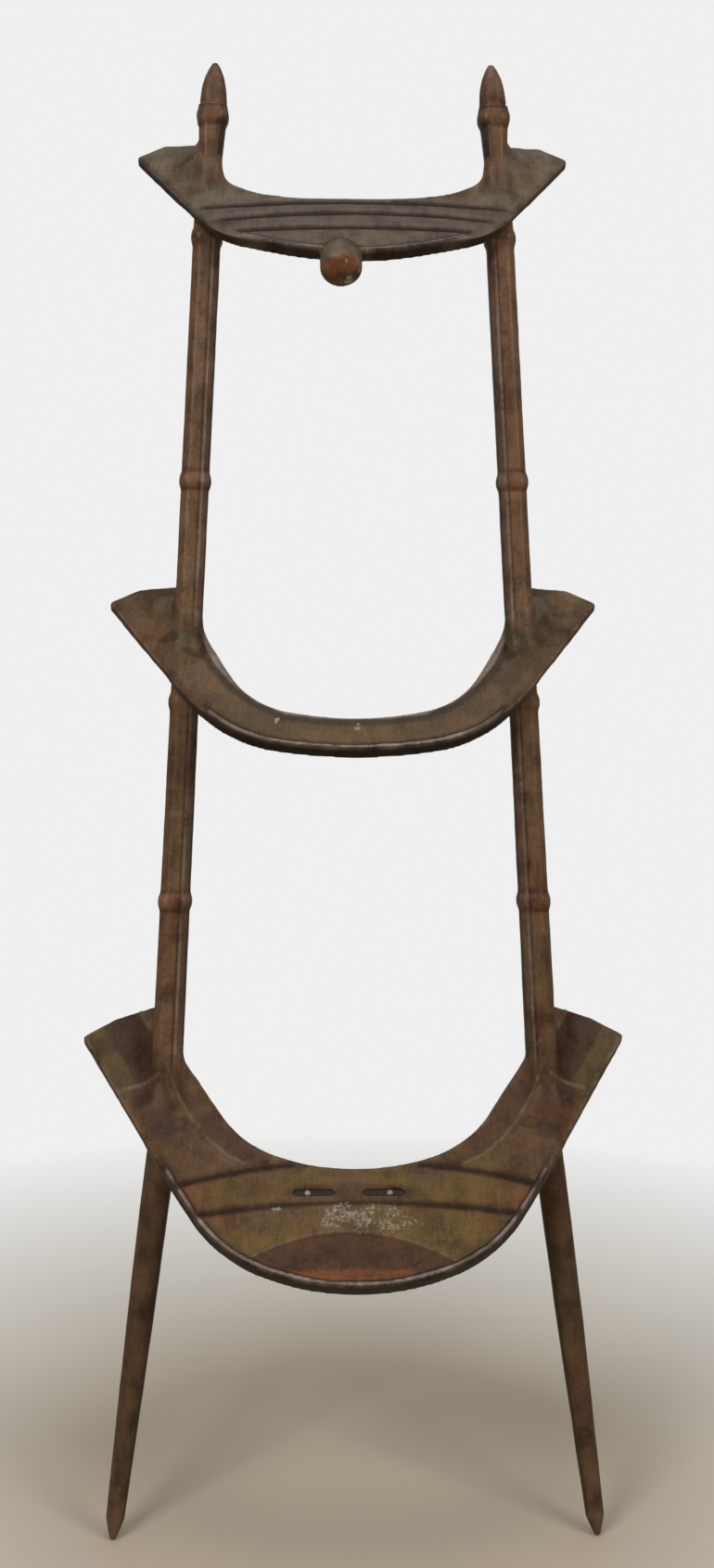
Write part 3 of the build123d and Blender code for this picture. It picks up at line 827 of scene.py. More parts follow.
@dataclass
class TopBow(BowHide):
    """Top bow with its reeds, rim and knob."""

    front: Span = (0.2, 0.8)
    reeds: tuple[Arc, ...] = (
        Arc(0.0268, 0.0129, 0.167),
        Arc(0.0448, 0.0135, 0.145),
        Arc(0.0684, 0.0071, 0.125),
    )
    reed_zone: Window = (0.016, 0.030, 0.120, 0.165)
    hollow_half: float = 0.0065
    hollow_line: float = 0.0045
    hollow_depth: float = 0.9 * MM
    lens: Oval = Oval((0.0, -0.090), (0.120, 0.017))
    edge: Path = (
        *((0.2243, 0.048), (0.1643, -0.042), (0.137, -0.0595)),
        *((0.111, -0.0736), (0.064, -0.0959), (0.0, -0.109)),
    )
    knob: Oval = Oval((-0.014, -0.113), (0.030, 0.040))
    knob_depth: Span = (0.104, 0.112)
    ear_spots: Spots = (
        (Tone.RUST, 0.75, Oval((0.128, 0.016), (0.022, 0.011), 62.0)),
        (Tone.RED_BROWN, 0.6, Oval((0.150, -0.002), (0.016, 0.010), 20.0)),
        (Tone.DARK, 0.35, Oval((0.172, 0.026), (0.016, 0.004), 5.0)),
    )
    web_spots: Spots = ((Tone.RUST, 0.55, Oval((0.1345, 0.004), (0.006, 0.009), -20.0)),)

    def relief(self, flat: Flat) -> Rows:
        """Hollows between the reeds, over the shallow wrinkles."""
        hollows = self.hollow_depth * self.hollows(flat, self.hollow_half)
        return super().relief(flat) - hollows * ramp(flat.over, *self.face_edge)

    def hollows(self, flat: Flat, half: float) -> Rows:
        """Masks of the hollows between the reeds.

        Args:
            flat: Places of the vertices on the bow.
            half: Half width of a hollow.

        Returns:
            One value for each vertex, from 0 to 1.
        """
        mask = np.zeros(len(flat.x))
        for reed in self.reeds:
            line = band(flat.above(reed), 0.0, half) * band(flat.x, reed.half - 0.02, reed.half)
            mask = np.maximum(mask, line)
        return mask

    def paint(self, coat: BowCoat) -> Rows:
        """Lilac reeds with dark hollows, rim, worn ears and knob.

        Args:
            coat: Colours of the bow.

        Returns:
            Pale chips of the knob for each vertex, from 0 to 1.
        """
        reeds = ramp(-coat.up, *self.reed_zone[:2]) * fall(coat.out, *self.reed_zone[2:])
        coat.lay(Tone.LILAC, 0.75 * reeds * coat.front)
        coat.lay(Tone.GREY_OLIVE, 0.6 * coat.within(self.lens))
        coat.lay(Tone.DARK, 0.85 * self.hollows(coat, self.hollow_line))
        coat.lay(Tone.DARK, 0.6 * ramp(coat.left_of(*self.edge[:2]), -0.007, 0.0) * coat.front)
        self.on_rim(coat, fall(coat.near(self.edge[1:]), 0.008, 0.011))
        coat.lay_spots(self.ear_spots)
        # The right ear is painted paler than the left.
        coat.lay(Tone.PALE, 0.20 * ramp(coat.x, 0.13, 0.17))
        coat.lay_spots(self.web_spots)
        return self.on_knob(coat)

    def on_knob(self, coat: BowCoat) -> Rows:
        """Olive knob with a rusty, chipped end.

        Args:
            coat: Colours of the bow.

        Returns:
            Pale chips for each vertex, from 0 to 1.
        """
        knob = ramp(-coat.up, *self.knob_depth) * coat.within(self.knob)
        coat.lay(Tone.GREY_OLIVE, knob)
        end = knob * ramp(coat.normals @ DOWN_SLOPE, 0.15, 0.7)
        coat.lay(Tone.RUST, 0.85 * end * ramp(coat.lumps(0.015, 40.0), -0.5, 0.1))
        coat.lay(Tone.DARK, 0.5 * end * ramp(-coat.lumps(0.011, 44.0), 0.1, 0.5))
        right = ramp(coat.x, self.knob.middle[0] - 0.001, self.knob.middle[0] + 0.010)
        return 1.8 * end * ramp(coat.lumps(0.007, 51.0), 0.05, 0.30) * right


@dataclass
class MidBow(BowHide):
    """Mid bow with its rim and pegs."""

    tone: Tone = Tone.OLIVE
    side_edge: Path = ((0.2518, 0.054), (0.1868, -0.046))
    inner: Path = (
        *((0.151, 0.002), (0.137, -0.030), (0.118, -0.058), (0.096, -0.079)),
        *((0.0675, -0.095), (0.034, -0.1005), (0.0, -0.102)),
    )
    inner_wall: Window = (-0.0032, -0.0012, 0.003, 0.006)
    gloss_line: float = 0.0022
    dark_line: float = 0.0085
    peg: Place = (0.1588, -0.052)
    ear_spots: Spots = (
        (Tone.RUST, 0.6, Oval((0.171, 0.066), (0.012, 0.012))),
        (Tone.RUST, 0.45, Oval((0.166, 0.030), (0.026, 0.007), 75.0)),
        (Tone.GREY_OLIVE, 0.6, Oval((0.190, 0.030), (0.034, 0.006), 60.0)),
        (Tone.DARK, 0.45, Oval((0.185, -0.004), (0.014, 0.006), 10.0)),
        (Tone.DARK, 0.45, Oval((0.163, -0.022), (0.012, 0.005), 15.0)),
    )
    web_spots: Spots = ((Tone.RUST, 0.40, Oval((0.166, 0.004), (0.007, 0.005), 20.0)),)
    chips: tuple[Oval, ...] = (
        Oval((0.0015, -0.1155), (0.0050, 0.0034), 60.0),
        Oval((-0.078, -0.107), (0.0038, 0.0022), 70.0),
    )

    def paint(self, coat: BowCoat) -> Rows:
        """Worn ears, pegs, a painted highlight and a dark band along the inner edge, and the rim.

        Args:
            coat: Colours of the bow.

        Returns:
            Pale chips for each vertex, from 0 to 1.
        """
        rough = coat.lumps(0.016, 60.0)
        side = coat.left_of(*self.side_edge)
        coat.lay(Tone.RED_BROWN, 0.6 * ramp(side + 0.010 * rough, -0.012, -0.002))
        coat.lay_spots(self.ear_spots)
        # The right ear is painted paler than the left.
        coat.lay(Tone.PALE, 0.22 * ramp(coat.x, 0.16, 0.20) * ramp(rough, -0.8, 0.4))
        coat.lay_spots(self.web_spots)
        coat.lay(Tone.OCHRE, 0.35 * ramp(-coat.up, 0.085, 0.115) * coat.front)
        coat.lay(Tone.DARK, 0.15 * self.peg_ring(coat, self.peg))
        edge = coat.near(self.inner)
        bevel = window(coat.over, self.inner_wall)
        coat.lay(Tone.DARK, 0.65 * band(edge - self.dark_line, 0.002, 0.006) * bevel)
        # Painted highlight just inside the inner edge.
        coat.lay(Tone.GLOSS, 0.50 * band(edge - self.gloss_line, 0.0012, 0.0026) * bevel)
        self.on_rim(coat)
        return 2.0 * sum(coat.within(chip) for chip in self.chips)


@dataclass
class BottomBow(BowHide):
    """Bottom bow with its boards, lips, ties, panel and rim."""

    tone: Tone = Tone.OCHRE
    side_edge: Path = ((0.2766, 0.049), (0.2091, -0.070))
    ridge: Path = (
        *((0.224, 0.091), (0.208, 0.050), (0.193, 0.013), (0.179, -0.018)),
        *((0.164, -0.045), (0.146, -0.070), (0.125, -0.089), (0.108, -0.098)),
    )
    strip: Path = (
        *((0.212, 0.096), (0.196, 0.056), (0.181, 0.019), (0.167, -0.012)),
        *((0.153, -0.038), (0.137, -0.061), (0.117, -0.079), (0.095, -0.089)),
    )
    ridge_half: float = 2.8 * MM
    ridge_rise: float = 1.0 * MM
    joints: tuple[Arc, ...] = (Arc(0.096, 0.021, 0.160), Arc(0.1401, 0.014, 0.160))
    joint_half: float = 0.009
    joint_hollow: float = 0.4 * MM
    tie: Path = ((0.197, -0.006), (0.230, -0.0145))
    peg: Place = (0.1741, -0.054)
    panel_shift: float = -0.009
    panel_crown: Arc = Arc(0.171, 0.040, 0.114)
    panel_glow: Oval = Oval((-0.004, -0.218), (0.088, 0.0085))
    arm_patch: Oval = Oval((0.200, -0.036), (0.036, 0.021), 64.0)
    middle_patch: Oval = Oval((-0.008, -0.128), (0.075, 0.010))
    web_foot: Oval = Oval((0.182, -0.004), (0.020, 0.007), 66.0)
    slot_half: Place = (0.030, 0.0085)
    arm_spots: Spots = (
        (Tone.PURPLE, 0.65, Oval((0.190, -0.062), (0.016, 0.012))),
        (Tone.PURPLE, 0.55, Oval((0.213, -0.022), (0.018, 0.008), 64.0)),
        (Tone.RUST, 0.6, Oval((0.188, -0.104), (0.010, 0.006), 40.0)),
        (Tone.RUST, 0.38, Oval((0.158, -0.134), (0.018, 0.010), 50.0)),
        (Tone.RUST, 0.30, Oval((0.125, -0.162), (0.020, 0.012), 40.0)),
    )
    scuff: Oval = Oval((0.004, -0.157), (0.062, 0.020), -4.0)
    chip: Oval = Oval((-0.078, -0.147), (0.006, 0.003), 10.0)

    def relief(self, flat: Flat) -> Rows:
        """Ridge beside the inner strip and hollows along the joints, over the wrinkles.

        Args:
            flat: Places of the vertices on the bow.

        Returns:
            One rise for each vertex.
        """
        rise = self.ridge_rise * band(flat.near(self.ridge), 0.0, self.ridge_half)
        for joint in self.joints:
            rise = rise - self.joint_hollow * band(flat.above(joint), 0.0, self.joint_half)
        on_face = ramp(flat.over, *self.face_edge) * fall(flat.over, 0.010, 0.014)
        return rise * on_face + super().relief(flat)

    def paint(self, coat: BowCoat) -> Rows:
        """Arms, boards, panel, rim and fittings.

        Args:
            coat: Colours of the bow.

        Returns:
            Pale scuffs for each vertex, from 0 to 1.
        """
        rough = coat.lumps(0.020, 70.0)
        self.on_arms(coat, rough)
        self.on_lower_board(coat, rough)
        self.on_joints(coat)
        self.on_rim(coat, ramp(coat.near(self.ridge), 0.004, 0.006))
        self.on_fittings(coat)
        scuff = 0.75 * coat.within(self.scuff) * ramp(coat.lumps(0.020, 83.0), -0.45, 0.15)
        return (scuff + 1.5 * coat.within(self.chip)) * coat.front

    def on_arms(self, coat: BowCoat, rough: Rows) -> None:
        """Olive edge, dark panel, inner lip and worn patches of the arms.

        Args:
            coat: Colours of the bow.
            rough: Noise that frays the edges of the patches.
        """
        front, out, up = coat.front, coat.out, coat.up
        from_edge = -coat.left_of(*self.side_edge)
        above_tie = ramp(up + 0.25 * (out - 0.196) + 0.002 * rough, -0.010, -0.006)
        inward = ramp(from_edge + 0.002 * rough, 0.021, 0.024)
        beyond = ramp(coat.left_of(self.ridge[0], self.ridge[3]), 0.001, 0.004)
        raised = ramp(coat.over, 0.0006, 0.002)
        coat.lay(Tone.RED_BROWN, 0.6 * raised * ramp(up, -0.06, -0.04))
        coat.lay(Tone.OLIVE, 0.7 * (1.0 - inward) * ramp(up, -0.05, 0.0) * front)
        panel = inward * above_tie * beyond
        coat.lay(Tone.PURPLE, 0.88 * panel * np.maximum(front, ramp(coat.over, 0.0005, 0.002)))
        lip = fall(coat.near(self.strip), 0.0110, 0.0135)
        coat.lay(Tone.RED_BROWN, 0.75 * lip * ramp(rough, -0.9, 0.1) * front)
        coat.lay(Tone.RED_BROWN, 0.45 * ramp(out, 0.12, 0.15) * ramp(-up, 0.01, 0.03) * front)
        lip_edge = ramp(up + 0.101 + 0.05 * ramp(out, 0.03, 0.12), 0.0, 0.006)
        coat.lay(Tone.RED_BROWN, 0.6 * lip_edge * fall(out, 0.05, 0.09) * front)
        patch = coat.inside(self.arm_patch, 0.003 * rough)
        coat.lay(Tone.RED_BROWN, 0.9 * patch * (1.0 - above_tie) * front)
        coat.lay_spots(self.arm_spots, front)
        coat.lay(Tone.RED_BROWN, 0.5 * coat.within(self.middle_patch) * front)

    def on_lower_board(self, coat: BowCoat, rough: Rows) -> None:
        """Ochre lower board and the red lens panel with its pale outline.

        Args:
            coat: Colours of the bow.
            rough: Noise that frays the edges of the patches.
        """
        front = coat.front
        coat.lay(Tone.OCHRE, 0.55 * ramp(-coat.up, 0.150, 0.166) * ramp(rough, -0.5, 0.4) * front)
        across = coat.x - self.panel_shift
        crown = coat.above(self.panel_crown, self.panel_shift)
        panel = ramp(-crown, -0.0005, 0.0025) * fall(coat.over, 0.0002, 0.0012)
        panel = panel * band(across, 0.110, 0.116)
        coat.lay(Tone.RED_BROWN, 0.92 * panel * front)
        coat.lay(Tone.PURPLE, 0.35 * panel * ramp(coat.lumps(0.03, 72.0), 0.0, 0.5) * front)
        coat.lay(Tone.RUST, 0.85 * panel * coat.within(self.panel_glow) * front)
        outline = band(crown, 0.0008, 0.0022) * band(across, 0.100, 0.112)
        coat.lay(Tone.PALE, 0.45 * outline * front)

    def on_joints(self, coat: BowCoat) -> None:
        """Pale lines on the tie and the ridge, dark joints, and the foot of each web.

        Args:
            coat: Colours of the bow.
        """
        front = coat.front
        coat.lay(Tone.PALE, 0.6 * fall(coat.near(self.tie), 0.0012, 0.0030) * front)
        line = fall(coat.near(self.ridge), 0.0008, 0.0024) * fall(coat.over, 0.012, 0.016)
        line = line * ramp(coat.lumps(0.012, 87.0), -0.9, 0.1)
        coat.lay(Tone.PALE, 0.45 * line * front)
        for joint in self.joints:
            dark = band(coat.above(joint) + 0.001, 0.001, 0.0075)
            coat.lay(Tone.PURPLE, 0.60 * dark * ramp(coat.out, 0.045, 0.085) * front)
            coat.lay(Tone.PURPLE, 0.30 * dark * front)
        inside = fall(coat.left_of(self.ridge[0], self.ridge[3]), -0.002, 0.001)
        inside = inside * ramp(coat.up, -0.022, -0.006) * ramp(coat.over, -0.004, -0.002)
        coat.lay(Tone.BROWN, 0.80 * inside * (1.0 - 0.8 * line))
        coat.lay(Tone.RED_BROWN, 0.6 * coat.inside(self.web_foot) * inside)

    def on_fittings(self, coat: BowCoat) -> None:
        """Stained pegs with dark rings round them, and dark slots.

        Args:
            coat: Colours of the bow.
        """
        coat.lay(Tone.RED_BROWN, 0.5 * coat.inside(Oval(self.peg, (0.008, 0.006))))
        coat.lay(Tone.DARK, 0.50 * self.peg_ring(coat, self.peg))
        for side in Side:
            slot = Oval((Studs.shift + side.value * Studs.spacing / 2, -Studs.depth), self.slot_half)
            coat.lay(Tone.DARK, 0.55 * coat.within(slot) * coat.front)


@dataclass
class Studs:
    """Worn metal studs on the two thongs."""

    face: Face
    shift: float = -0.008
    spacing: float = 0.068
    inset: float = 0.006
    depth: float = 0.1299
    sunk: float = 2.2 * MM
    radius: float = 3.4 * MM
    rise: float = 2.6 * MM
    dent: float = 0.35 * MM
    dent_size: float = 1.0 * MM

    def build(self, material: Material) -> None:
        """Model one dented dome for each thong.

        Args:
            material: The studs' material.
        """
        base = self.face.origin + POSE.down_slope * self.depth - POSE.out_of_face * self.sunk
        for side in Side:
            deselect()
            bpy.ops.mesh.primitive_uv_sphere_add(segments=24, ring_count=12, radius=self.radius)
            stud = bpy.context.object
            stud.name = f"{side.prefix}_thong_stud"
            points = points_of(stud)
            top = np.maximum(points[:, 2], -0.3 * self.radius)
            flat = points[:, 0] ** 2 + points[:, 1] ** 2
            dent = self.dent * np.exp(-flat / self.dent_size**2)
            points[:, 2] = top * (self.rise / self.radius) - dent * (top > 0)
            across = self.shift + side.value * (self.spacing / 2 + self.inset)
            turn = np.stack([(1.0, 0.0, 0.0), -DOWN_SLOPE, OUT_OF_FACE])
            set_points(stud, points @ turn + np.array(base) + np.array([across, 0.0, 0.0]))
            choose(stud)
            bpy.ops.object.shade_smooth()
            stud.data.materials.append(material)
            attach(stud, BODY)
            log.info("%s: %d faces", stud.name, len(stud.data.polygons))


# Materials


@dataclass
class Graph:
    """A small helper that lays out shader nodes and links in a node tree."""

    tree: NodeTree

    def add(self, kind: str, inputs: dict | None = None, **settings: object) -> Node:
        """Add a node.

        Args:
            kind: Type of the node, without ShaderNode in front.
            inputs: Its inputs by name or number.
            **settings: Its properties by name.

        Returns:
            The node.
        """
        node = self.tree.nodes.new(f"ShaderNode{kind}")
        for key, value in settings.items():
            setattr(node, key, value)
        self.fill(node, inputs or {})
        return node

    def fill(self, node: Node, inputs: dict) -> None:
        """Link inputs of a node or set their values.

        Args:
            node: The node.
            inputs: An output socket or a value for each name or number of an input.
        """
        for socket, value in inputs.items():
            if isinstance(value, NodeSocket):
                self.tree.links.new(value, node.inputs[socket])
            else:
                node.inputs[socket].default_value = value

    def math(self, kind: str, *values: object) -> NodeSocket:
        """Result of a Math node, by its operation and its inputs."""
        return self.add("Math", dict(enumerate(values)), operation=kind).outputs[0]

    def times(self, one: object, two: object) -> NodeSocket:
        """Product of two values."""
        return self.math("MULTIPLY", one, two)

    def mix(self, share: object, one: object, two: object, kind: str = "MIX") -> NodeSocket:
        """Mix of two colours, by the share of the second one and a blend type."""
        inputs = {0: share, 6: one, 7: two}
        return self.add("Mix", inputs, data_type="RGBA", blend_type=kind).outputs[2]

    def scaled(self, colour: object, factors: Triple) -> NodeSocket:
        """A colour times a factor for each channel."""
        return self.mix(1.0, colour, (*factors, 1.0), "MULTIPLY")

    def noise(self, place: object, look: Triple) -> NodeSocket:
        """A noise, by its coordinates and by its scale, detail and roughness."""
        names = ("Vector", "Scale", "Detail", "Roughness")
        return self.add("TexNoise", dict(zip(names, (place, *look)))).outputs[0]

    def range(self, value: object, *limits: float) -> NodeSocket:
        """A value moved from one range to another, which is 0 to 1 where it isn't given."""
        return self.add("MapRange", dict(enumerate((value, *limits)))).outputs[0]

    def kept(self, name: str) -> NodeSocket:
        """A colour attribute kept on the vertices."""
        return self.add("Attribute", attribute_name=name).outputs["Color"]

    def bump(self, height: NodeSocket, strength: float, distance: float) -> NodeSocket:
        """A normal bumped by a height, with a strength and a depth in metres."""
        inputs = {"Height": height, "Strength": strength, "Distance": distance}
        return self.add("Bump", inputs).outputs["Normal"]


NUMBER = "NodeSocketFloat"
COLOUR = "NodeSocketColor"


def new_group(
    name: str, takes: dict[str, str], gives: dict[str, str]
) -> tuple[Graph, bpy.types.NodeOutputs, Node]:
    """Start a shader node group.

    Args:
        name: Its name.
        takes: Inputs and their socket types.
        gives: Outputs and their socket types.

    Returns:
        The group's graph, what it is given, and the node of its results.
    """
    tree = bpy.data.node_groups.new(name, "ShaderNodeTree")
    for way, sockets in (("INPUT", takes), ("OUTPUT", gives)):
        for socket, kind in sockets.items():
            tree.interface.new_socket(name=socket, in_out=way, socket_type=kind)
    given = tree.nodes.new("NodeGroupInput").outputs
    return Graph(tree), given, tree.nodes.new("NodeGroupOutput")


def new_material(name: str) -> tuple[Material, Graph, Node]:
    """Start a material.

    Args:
        name: Its name.

    Returns:
        The material, its graph and its shader.
    """
    material = bpy.data.materials.new(name)
    material.use_nodes = True
    return material, Graph(material.node_tree), material.node_tree.nodes["Principled BSDF"]


@dataclass(frozen=True)
class Mottle:
    """Cloudy tones, pores and wrinkles of old rawhide, with noises by scale, detail and roughness."""

    clouds: Triple = (42.0, 5.0, 0.62)
    pores: Triple = (330.0, 3.0, 0.6)
    creases: Triple = (120.0, 4.0, 0.55)
    streaks: Triple = (260.0, 3.0, 0.6)
    stretch: Triple = (1.0, 0.22, 0.22)
    dark: Triple = (0.52, 0.47, 0.44)
    light: Triple = (1.34, 1.36, 1.34)
    crease_share: float = 0.75
    pore_share: float = 0.25

    def group(self) -> NodeTree:
        """Build the node group.

        Returns:
            The group.
        """
        graph, given, result = new_group(
            "hide_mottle",
            {"Tint": COLOUR, "Clouds": NUMBER, "Specks": NUMBER},
            {"Tint": COLOUR, "Cloud": NUMBER, "Height": NUMBER},
        )
        place = graph.add("TexCoord").outputs["Object"]
        long = graph.add("Mapping", {"Vector": place, "Scale": self.stretch}).outputs["Vector"]
        cloud = graph.noise(place, self.clouds)
        pore = graph.noise(place, self.pores)
        crease = graph.noise(place, self.creases)
        streak = graph.noise(long, self.streaks)
        dark = graph.scaled(given["Tint"], self.dark)
        light = graph.scaled(given["Tint"], self.light)
        tint = given["Tint"]
        for value, low, high, strength, tone in (
            (cloud, 0.50, 0.36, given["Clouds"], dark),
            (cloud, 0.50, 0.66, given["Clouds"], light),
            (pore, 0.56, 0.72, given["Specks"], dark),
            (pore, 0.42, 0.30, given["Specks"], light),
            (streak, 0.52, 0.68, 0.40, dark),
            (streak, 0.46, 0.34, 0.35, light),
        ):
            tint = graph.mix(graph.times(graph.range(value, low, high), strength), tint, tone)
        creased = graph.times(crease, self.crease_share)
        height = graph.math("ADD", creased, graph.times(pore, self.pore_share))
        graph.fill(result, {"Tint": tint, "Cloud": cloud, "Height": height})
        return graph.tree


@dataclass(frozen=True)
class WearAndHighlight:
    """Rubbed arrises lightened with a painted highlight, darker hollows and pale scuffs."""

    darker_in_hollows: Triple = (0.30, 0.25, 0.23)
    rubbed_and_highlit: Triple = (1.7, 1.6, 1.6)
    polish_and_sheen: Triple = (0.20, 0.15, 0.13)
    polish_and_sheen_share: float = 0.35
    bare: Triple = (0.36, 0.32, 0.25)
    bare_share: float = 0.8
    flecks: Triple = (300.0, 4.0, 0.75)
    fleck_edge: Span = (0.63, 0.82)
    roughness: Span = (0.30, 0.46)
    rubbed_and_highlit_smoother: float = 0.10
    hollow_rougher: float = 0.15

    def group(self) -> NodeTree:
        """Build the node group.

        Returns:
            The group.
        """
        graph, given, result = new_group(
            "hide_wear",
            {"Tint": COLOUR, "Masks": COLOUR, "Cloud": NUMBER, "Dirt": NUMBER, "Rub": NUMBER},
            {"Tint": COLOUR, "Roughness": NUMBER},
        )
        rubbed_and_highlit, hollow, scuff = graph.add("SeparateColor", {0: given["Masks"]}).outputs
        # Darker in the hollows.
        darker_in_hollows = graph.scaled(given["Tint"], self.darker_in_hollows)
        tint = graph.mix(graph.times(hollow, given["Dirt"]), given["Tint"], darker_in_hollows)
        # Rubbed arrises get lighter and greyer: partly wear, partly a painted highlight.
        pale = graph.mix(self.polish_and_sheen_share, graph.scaled(tint, self.rubbed_and_highlit), (*self.polish_and_sheen, 1.0))
        patchy = graph.times(graph.range(given["Cloud"], 0.36, 0.62), rubbed_and_highlit)
        tint = graph.mix(graph.times(patchy, given["Rub"]), tint, pale)
        flecks = graph.noise(graph.add("TexCoord").outputs["Object"], self.flecks)
        spread = graph.math("ADD", flecks, graph.times(scuff, 0.25))
        bare = graph.times(graph.range(spread, *self.fleck_edge), graph.range(scuff, 0.0, 0.15))
        tint = graph.mix(graph.times(bare, self.bare_share), tint, (*self.bare, 1.0))
        rough = graph.range(given["Cloud"], 0.3, 0.7, *self.roughness)
        rough = graph.math("SUBTRACT", rough, graph.times(rubbed_and_highlit, self.rubbed_and_highlit_smoother))
        rough = graph.math("ADD", rough, graph.times(hollow, self.hollow_rougher))
        graph.fill(result, {"Tint": tint, "Roughness": rough})
        return graph.tree


@dataclass(frozen=True)
class Finish:
    """A finish mottled like hide: of one colour, or of the tints and the masks of wear, painted highlight
    and darker hollows kept on a skin.
    """

    name: str
    colour: Triple | None = None
    roughness: float = 0.4
    metallic: float = 0.0
    specular: float = 0.5
    clouds: float = 0.8
    specks: float = 0.8
    relief: float = 0.5
    depth: float = 0.6 * MM
    dirt: float = 0.85
    rub: float = 0.65

    def material(self, mottle: NodeTree, wearandhighlight: NodeTree) -> Material:
        """Build the material.

        Args:
            mottle: Group of tones and wrinkles.
            wear: Group of rubbing with a painted highlight and of darker hollows, for a skin.

        Returns:
            The material.
        """
        material, graph, shader = new_material(self.name)
        tint = (*self.colour, 1.0) if self.colour else graph.kept("tint")
        inputs = {"Tint": tint, "Clouds": self.clouds, "Specks": self.specks}
        tint, cloud, height = graph.add("Group", inputs, node_tree=mottle).outputs
        if self.colour:
            rough = graph.range(cloud, 0.3, 0.7, self.roughness, self.roughness + 0.2)
        else:
            inputs = {"Tint": tint, "Masks": graph.kept("wearandhighlight"), "Cloud": cloud}
            inputs.update({"Dirt": self.dirt, "Rub": self.rub})
            tint, rough = graph.add("Group", inputs, node_tree=wearandhighlight).outputs
        graph.fill(shader, {
            "Base Color": tint,
            "Roughness": rough,
            "Metallic": self.metallic,
            "Specular IOR Level": self.specular,
            "Normal": graph.bump(height, self.relief, self.depth),
        })
        return material


HIDE = Finish("old_rawhide", specular=0.16, clouds=0.75, specks=0.65, relief=0.75, depth=1.2 * MM)
LEATHER = Finish("dark_thong_leather", (0.022, 0.012, 0.008), 0.75)
METAL = Finish("worn_stud", (0.26, 0.22, 0.19), 0.40, 0.7)


# The room


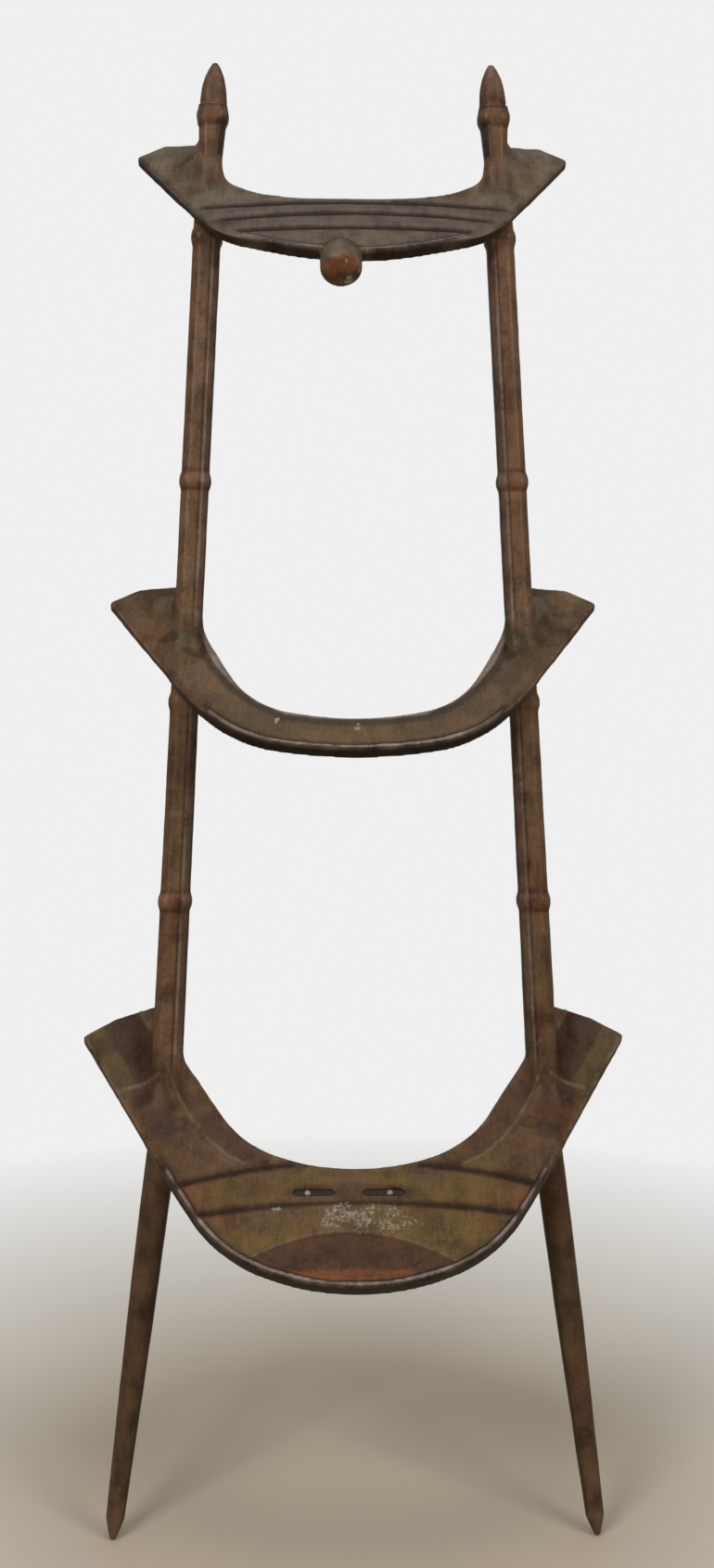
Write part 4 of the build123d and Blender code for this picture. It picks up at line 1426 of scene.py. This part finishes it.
@dataclass
class Studio:
    """Floor, camera and soft square lamps, each with a name, a place and a power."""

    camera_place: Triple = (-0.053, -1.983, 1.073)
    pitch: float = math.radians(9.0)
    yaw: float = math.radians(1.494)
    roll: float = math.radians(-0.202)
    long_side: float = 36.0
    view_angle: float = math.radians(40.35)
    floor_size: float = 40.0
    floor_colour: Triple = (0.50, 0.42, 0.31)
    floor_roughness: float = 0.8
    backdrop: Triple = (0.86, 0.865, 0.86)
    fade: Span = (0.28, 1.15)
    sky: Triple = (0.86, 0.87, 0.88)
    sky_strength: float = 0.40
    aim: Triple = (0.0, 0.0, 0.75)
    lamps: tuple[tuple[str, Triple, float], ...] = (
        ("left_lamp", (-1.3, -2.1, 2.4), 36.0),
        ("right_lamp", (1.7, -1.8, 2.3), 24.0),
        ("top_lamp", (0.0, -0.3, 3.0), 11.0),
    )

    def place_camera(self) -> None:
        """Put the camera where the photograph was taken from."""
        data = bpy.data.cameras.new("camera")
        data.sensor_width = self.long_side
        data.lens = self.long_side / 2 / math.tan(self.view_angle / 2)
        camera = bpy.data.objects.new("camera", data)
        bpy.context.scene.collection.objects.link(camera)
        turn = Matrix.Rotation(-self.yaw, 4, "Z") @ Matrix.Rotation(math.pi / 2 - self.pitch, 4, "X")
        turn = turn @ Matrix.Rotation(-self.roll, 4, "Z")
        place = Vector(self.camera_place) + POSE.on_lean(0.0, 0.0)
        camera.matrix_world = Matrix.Translation(place) @ turn
        bpy.context.scene.camera = camera

    def lay_floor(self) -> None:
        """A plain pale floor that fades into a pale backdrop away from the frame."""
        deselect()
        bpy.ops.mesh.primitive_grid_add(
            x_subdivisions=4, y_subdivisions=4, size=self.floor_size, location=(0.0, 0.0, 0.0)
        )
        floor = bpy.context.object
        floor.name = "floor"
        material, graph, shader = new_material("floor")
        colour = (*self.floor_colour, 1.0)
        graph.fill(shader, {"Base Color": colour, "Roughness": self.floor_roughness})
        place = graph.add("TexCoord").outputs["Object"]
        away = graph.add("VectorMath", {0: place}, operation="LENGTH").outputs["Value"]
        seen = graph.add("LightPath").outputs["Is Camera Ray"]
        share = graph.times(graph.range(away, *self.fade), seen)
        plain = graph.add("Emission", {"Color": (*self.backdrop, 1.0)})
        mix = graph.add("MixShader", {0: share, 1: shader.outputs[0], 2: plain.outputs[0]})
        graph.fill(material.node_tree.nodes["Material Output"], {"Surface": mix.outputs[0]})
        floor.data.materials.append(material)

    def light(self) -> None:
        """An even pale sky and the lamps."""
        world = bpy.data.worlds.new("studio")
        world.use_nodes = True
        world.node_tree.nodes.clear()
        graph = Graph(world.node_tree)
        sky = graph.add("Background", {"Color": (*self.sky, 1.0), "Strength": self.sky_strength})
        plain = graph.add("Background", {"Color": (*self.backdrop, 1.0)})
        seen = graph.add("LightPath").outputs["Is Camera Ray"]
        mix = graph.add("MixShader", {0: seen, 1: sky.outputs[0], 2: plain.outputs[0]})
        graph.add("OutputWorld", {0: mix.outputs[0]})
        bpy.context.scene.world = world
        for name, place, power in self.lamps:
            data = bpy.data.lights.new(name, "AREA")
            data.size, data.energy = 1.0, power
            lamp = bpy.data.objects.new(name, data)
            bpy.context.scene.collection.objects.link(lamp)
            turn = (Vector(self.aim) - Vector(place)).to_track_quat("-Z", "Y").to_matrix().to_4x4()
            lamp.matrix_world = Matrix.Translation(place) @ turn

    def build(self) -> None:
        """Set up the whole room."""
        self.place_camera()
        self.lay_floor()
        self.light()
        bpy.context.scene.view_settings.view_transform = "Standard"


def dress() -> None:
    """Draw the hides over the frame and finish what still shows."""
    groups = Mottle().group(), WearAndHighlight().group()
    hide = HIDE.material(*groups)
    collars = [f"{name}_collar" for name in ("finial", "top_bow", "upper", "mid_bow", "lower")]
    for side in Side:
        nodes = [f"{side.prefix}_{name}" for name in ("side_pole", "leg", *collars)]
        SideHide(f"{side.prefix}_side_hide", nodes, "pole").build(hide)
    TopBow(
        "top_bow_hide",
        ["top_bow_yoke", "top_bow_upper_reed", "top_bow_middle_reed", "top_bow_lower_reed", "pommel_knob"]
        + on_both_sides("top_bow_rim", "top_bow_web"),
        "bow",
    ).build(hide)
    MidBow(
        "mid_bow_hide",
        ["mid_bow_board", "mid_bow_rim"] + on_both_sides("mid_bow_peg", "mid_bow_web"),
        "bow",
        seed=2.0,
        face=MID_FACE,
        webs="mid_bow_web",
        web_height=0.030,
    ).build(hide)
    arm_parts = [f"bottom_bow_{name}" for name in ("arm", "inner_lip", "cross_tie", "peg", "web")]
    BottomBow(
        "bottom_bow_hide",
        ["bottom_bow_middle_board", "bottom_bow_lower_board", "bottom_bow_lens_panel", "bottom_bow_rim"]
        + on_both_sides(*arm_parts),
        "bow",
        seed=3.0,
        face=BOTTOM_FACE,
        webs="bottom_bow_web",
        web_height=0.042,
    ).build(hide)
    leather = LEATHER.material(*groups)
    for name in on_both_sides("bottom_bow_thong"):
        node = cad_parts[name]
        node.data.materials.clear()
        node.data.materials.append(leather)
    Studs(BOTTOM_FACE).build(METAL.material(*groups))


def main() -> None:
    """Build the room and dress the frame."""
    Studio().build()
    dress()


if __name__ == "__main__":
    main()
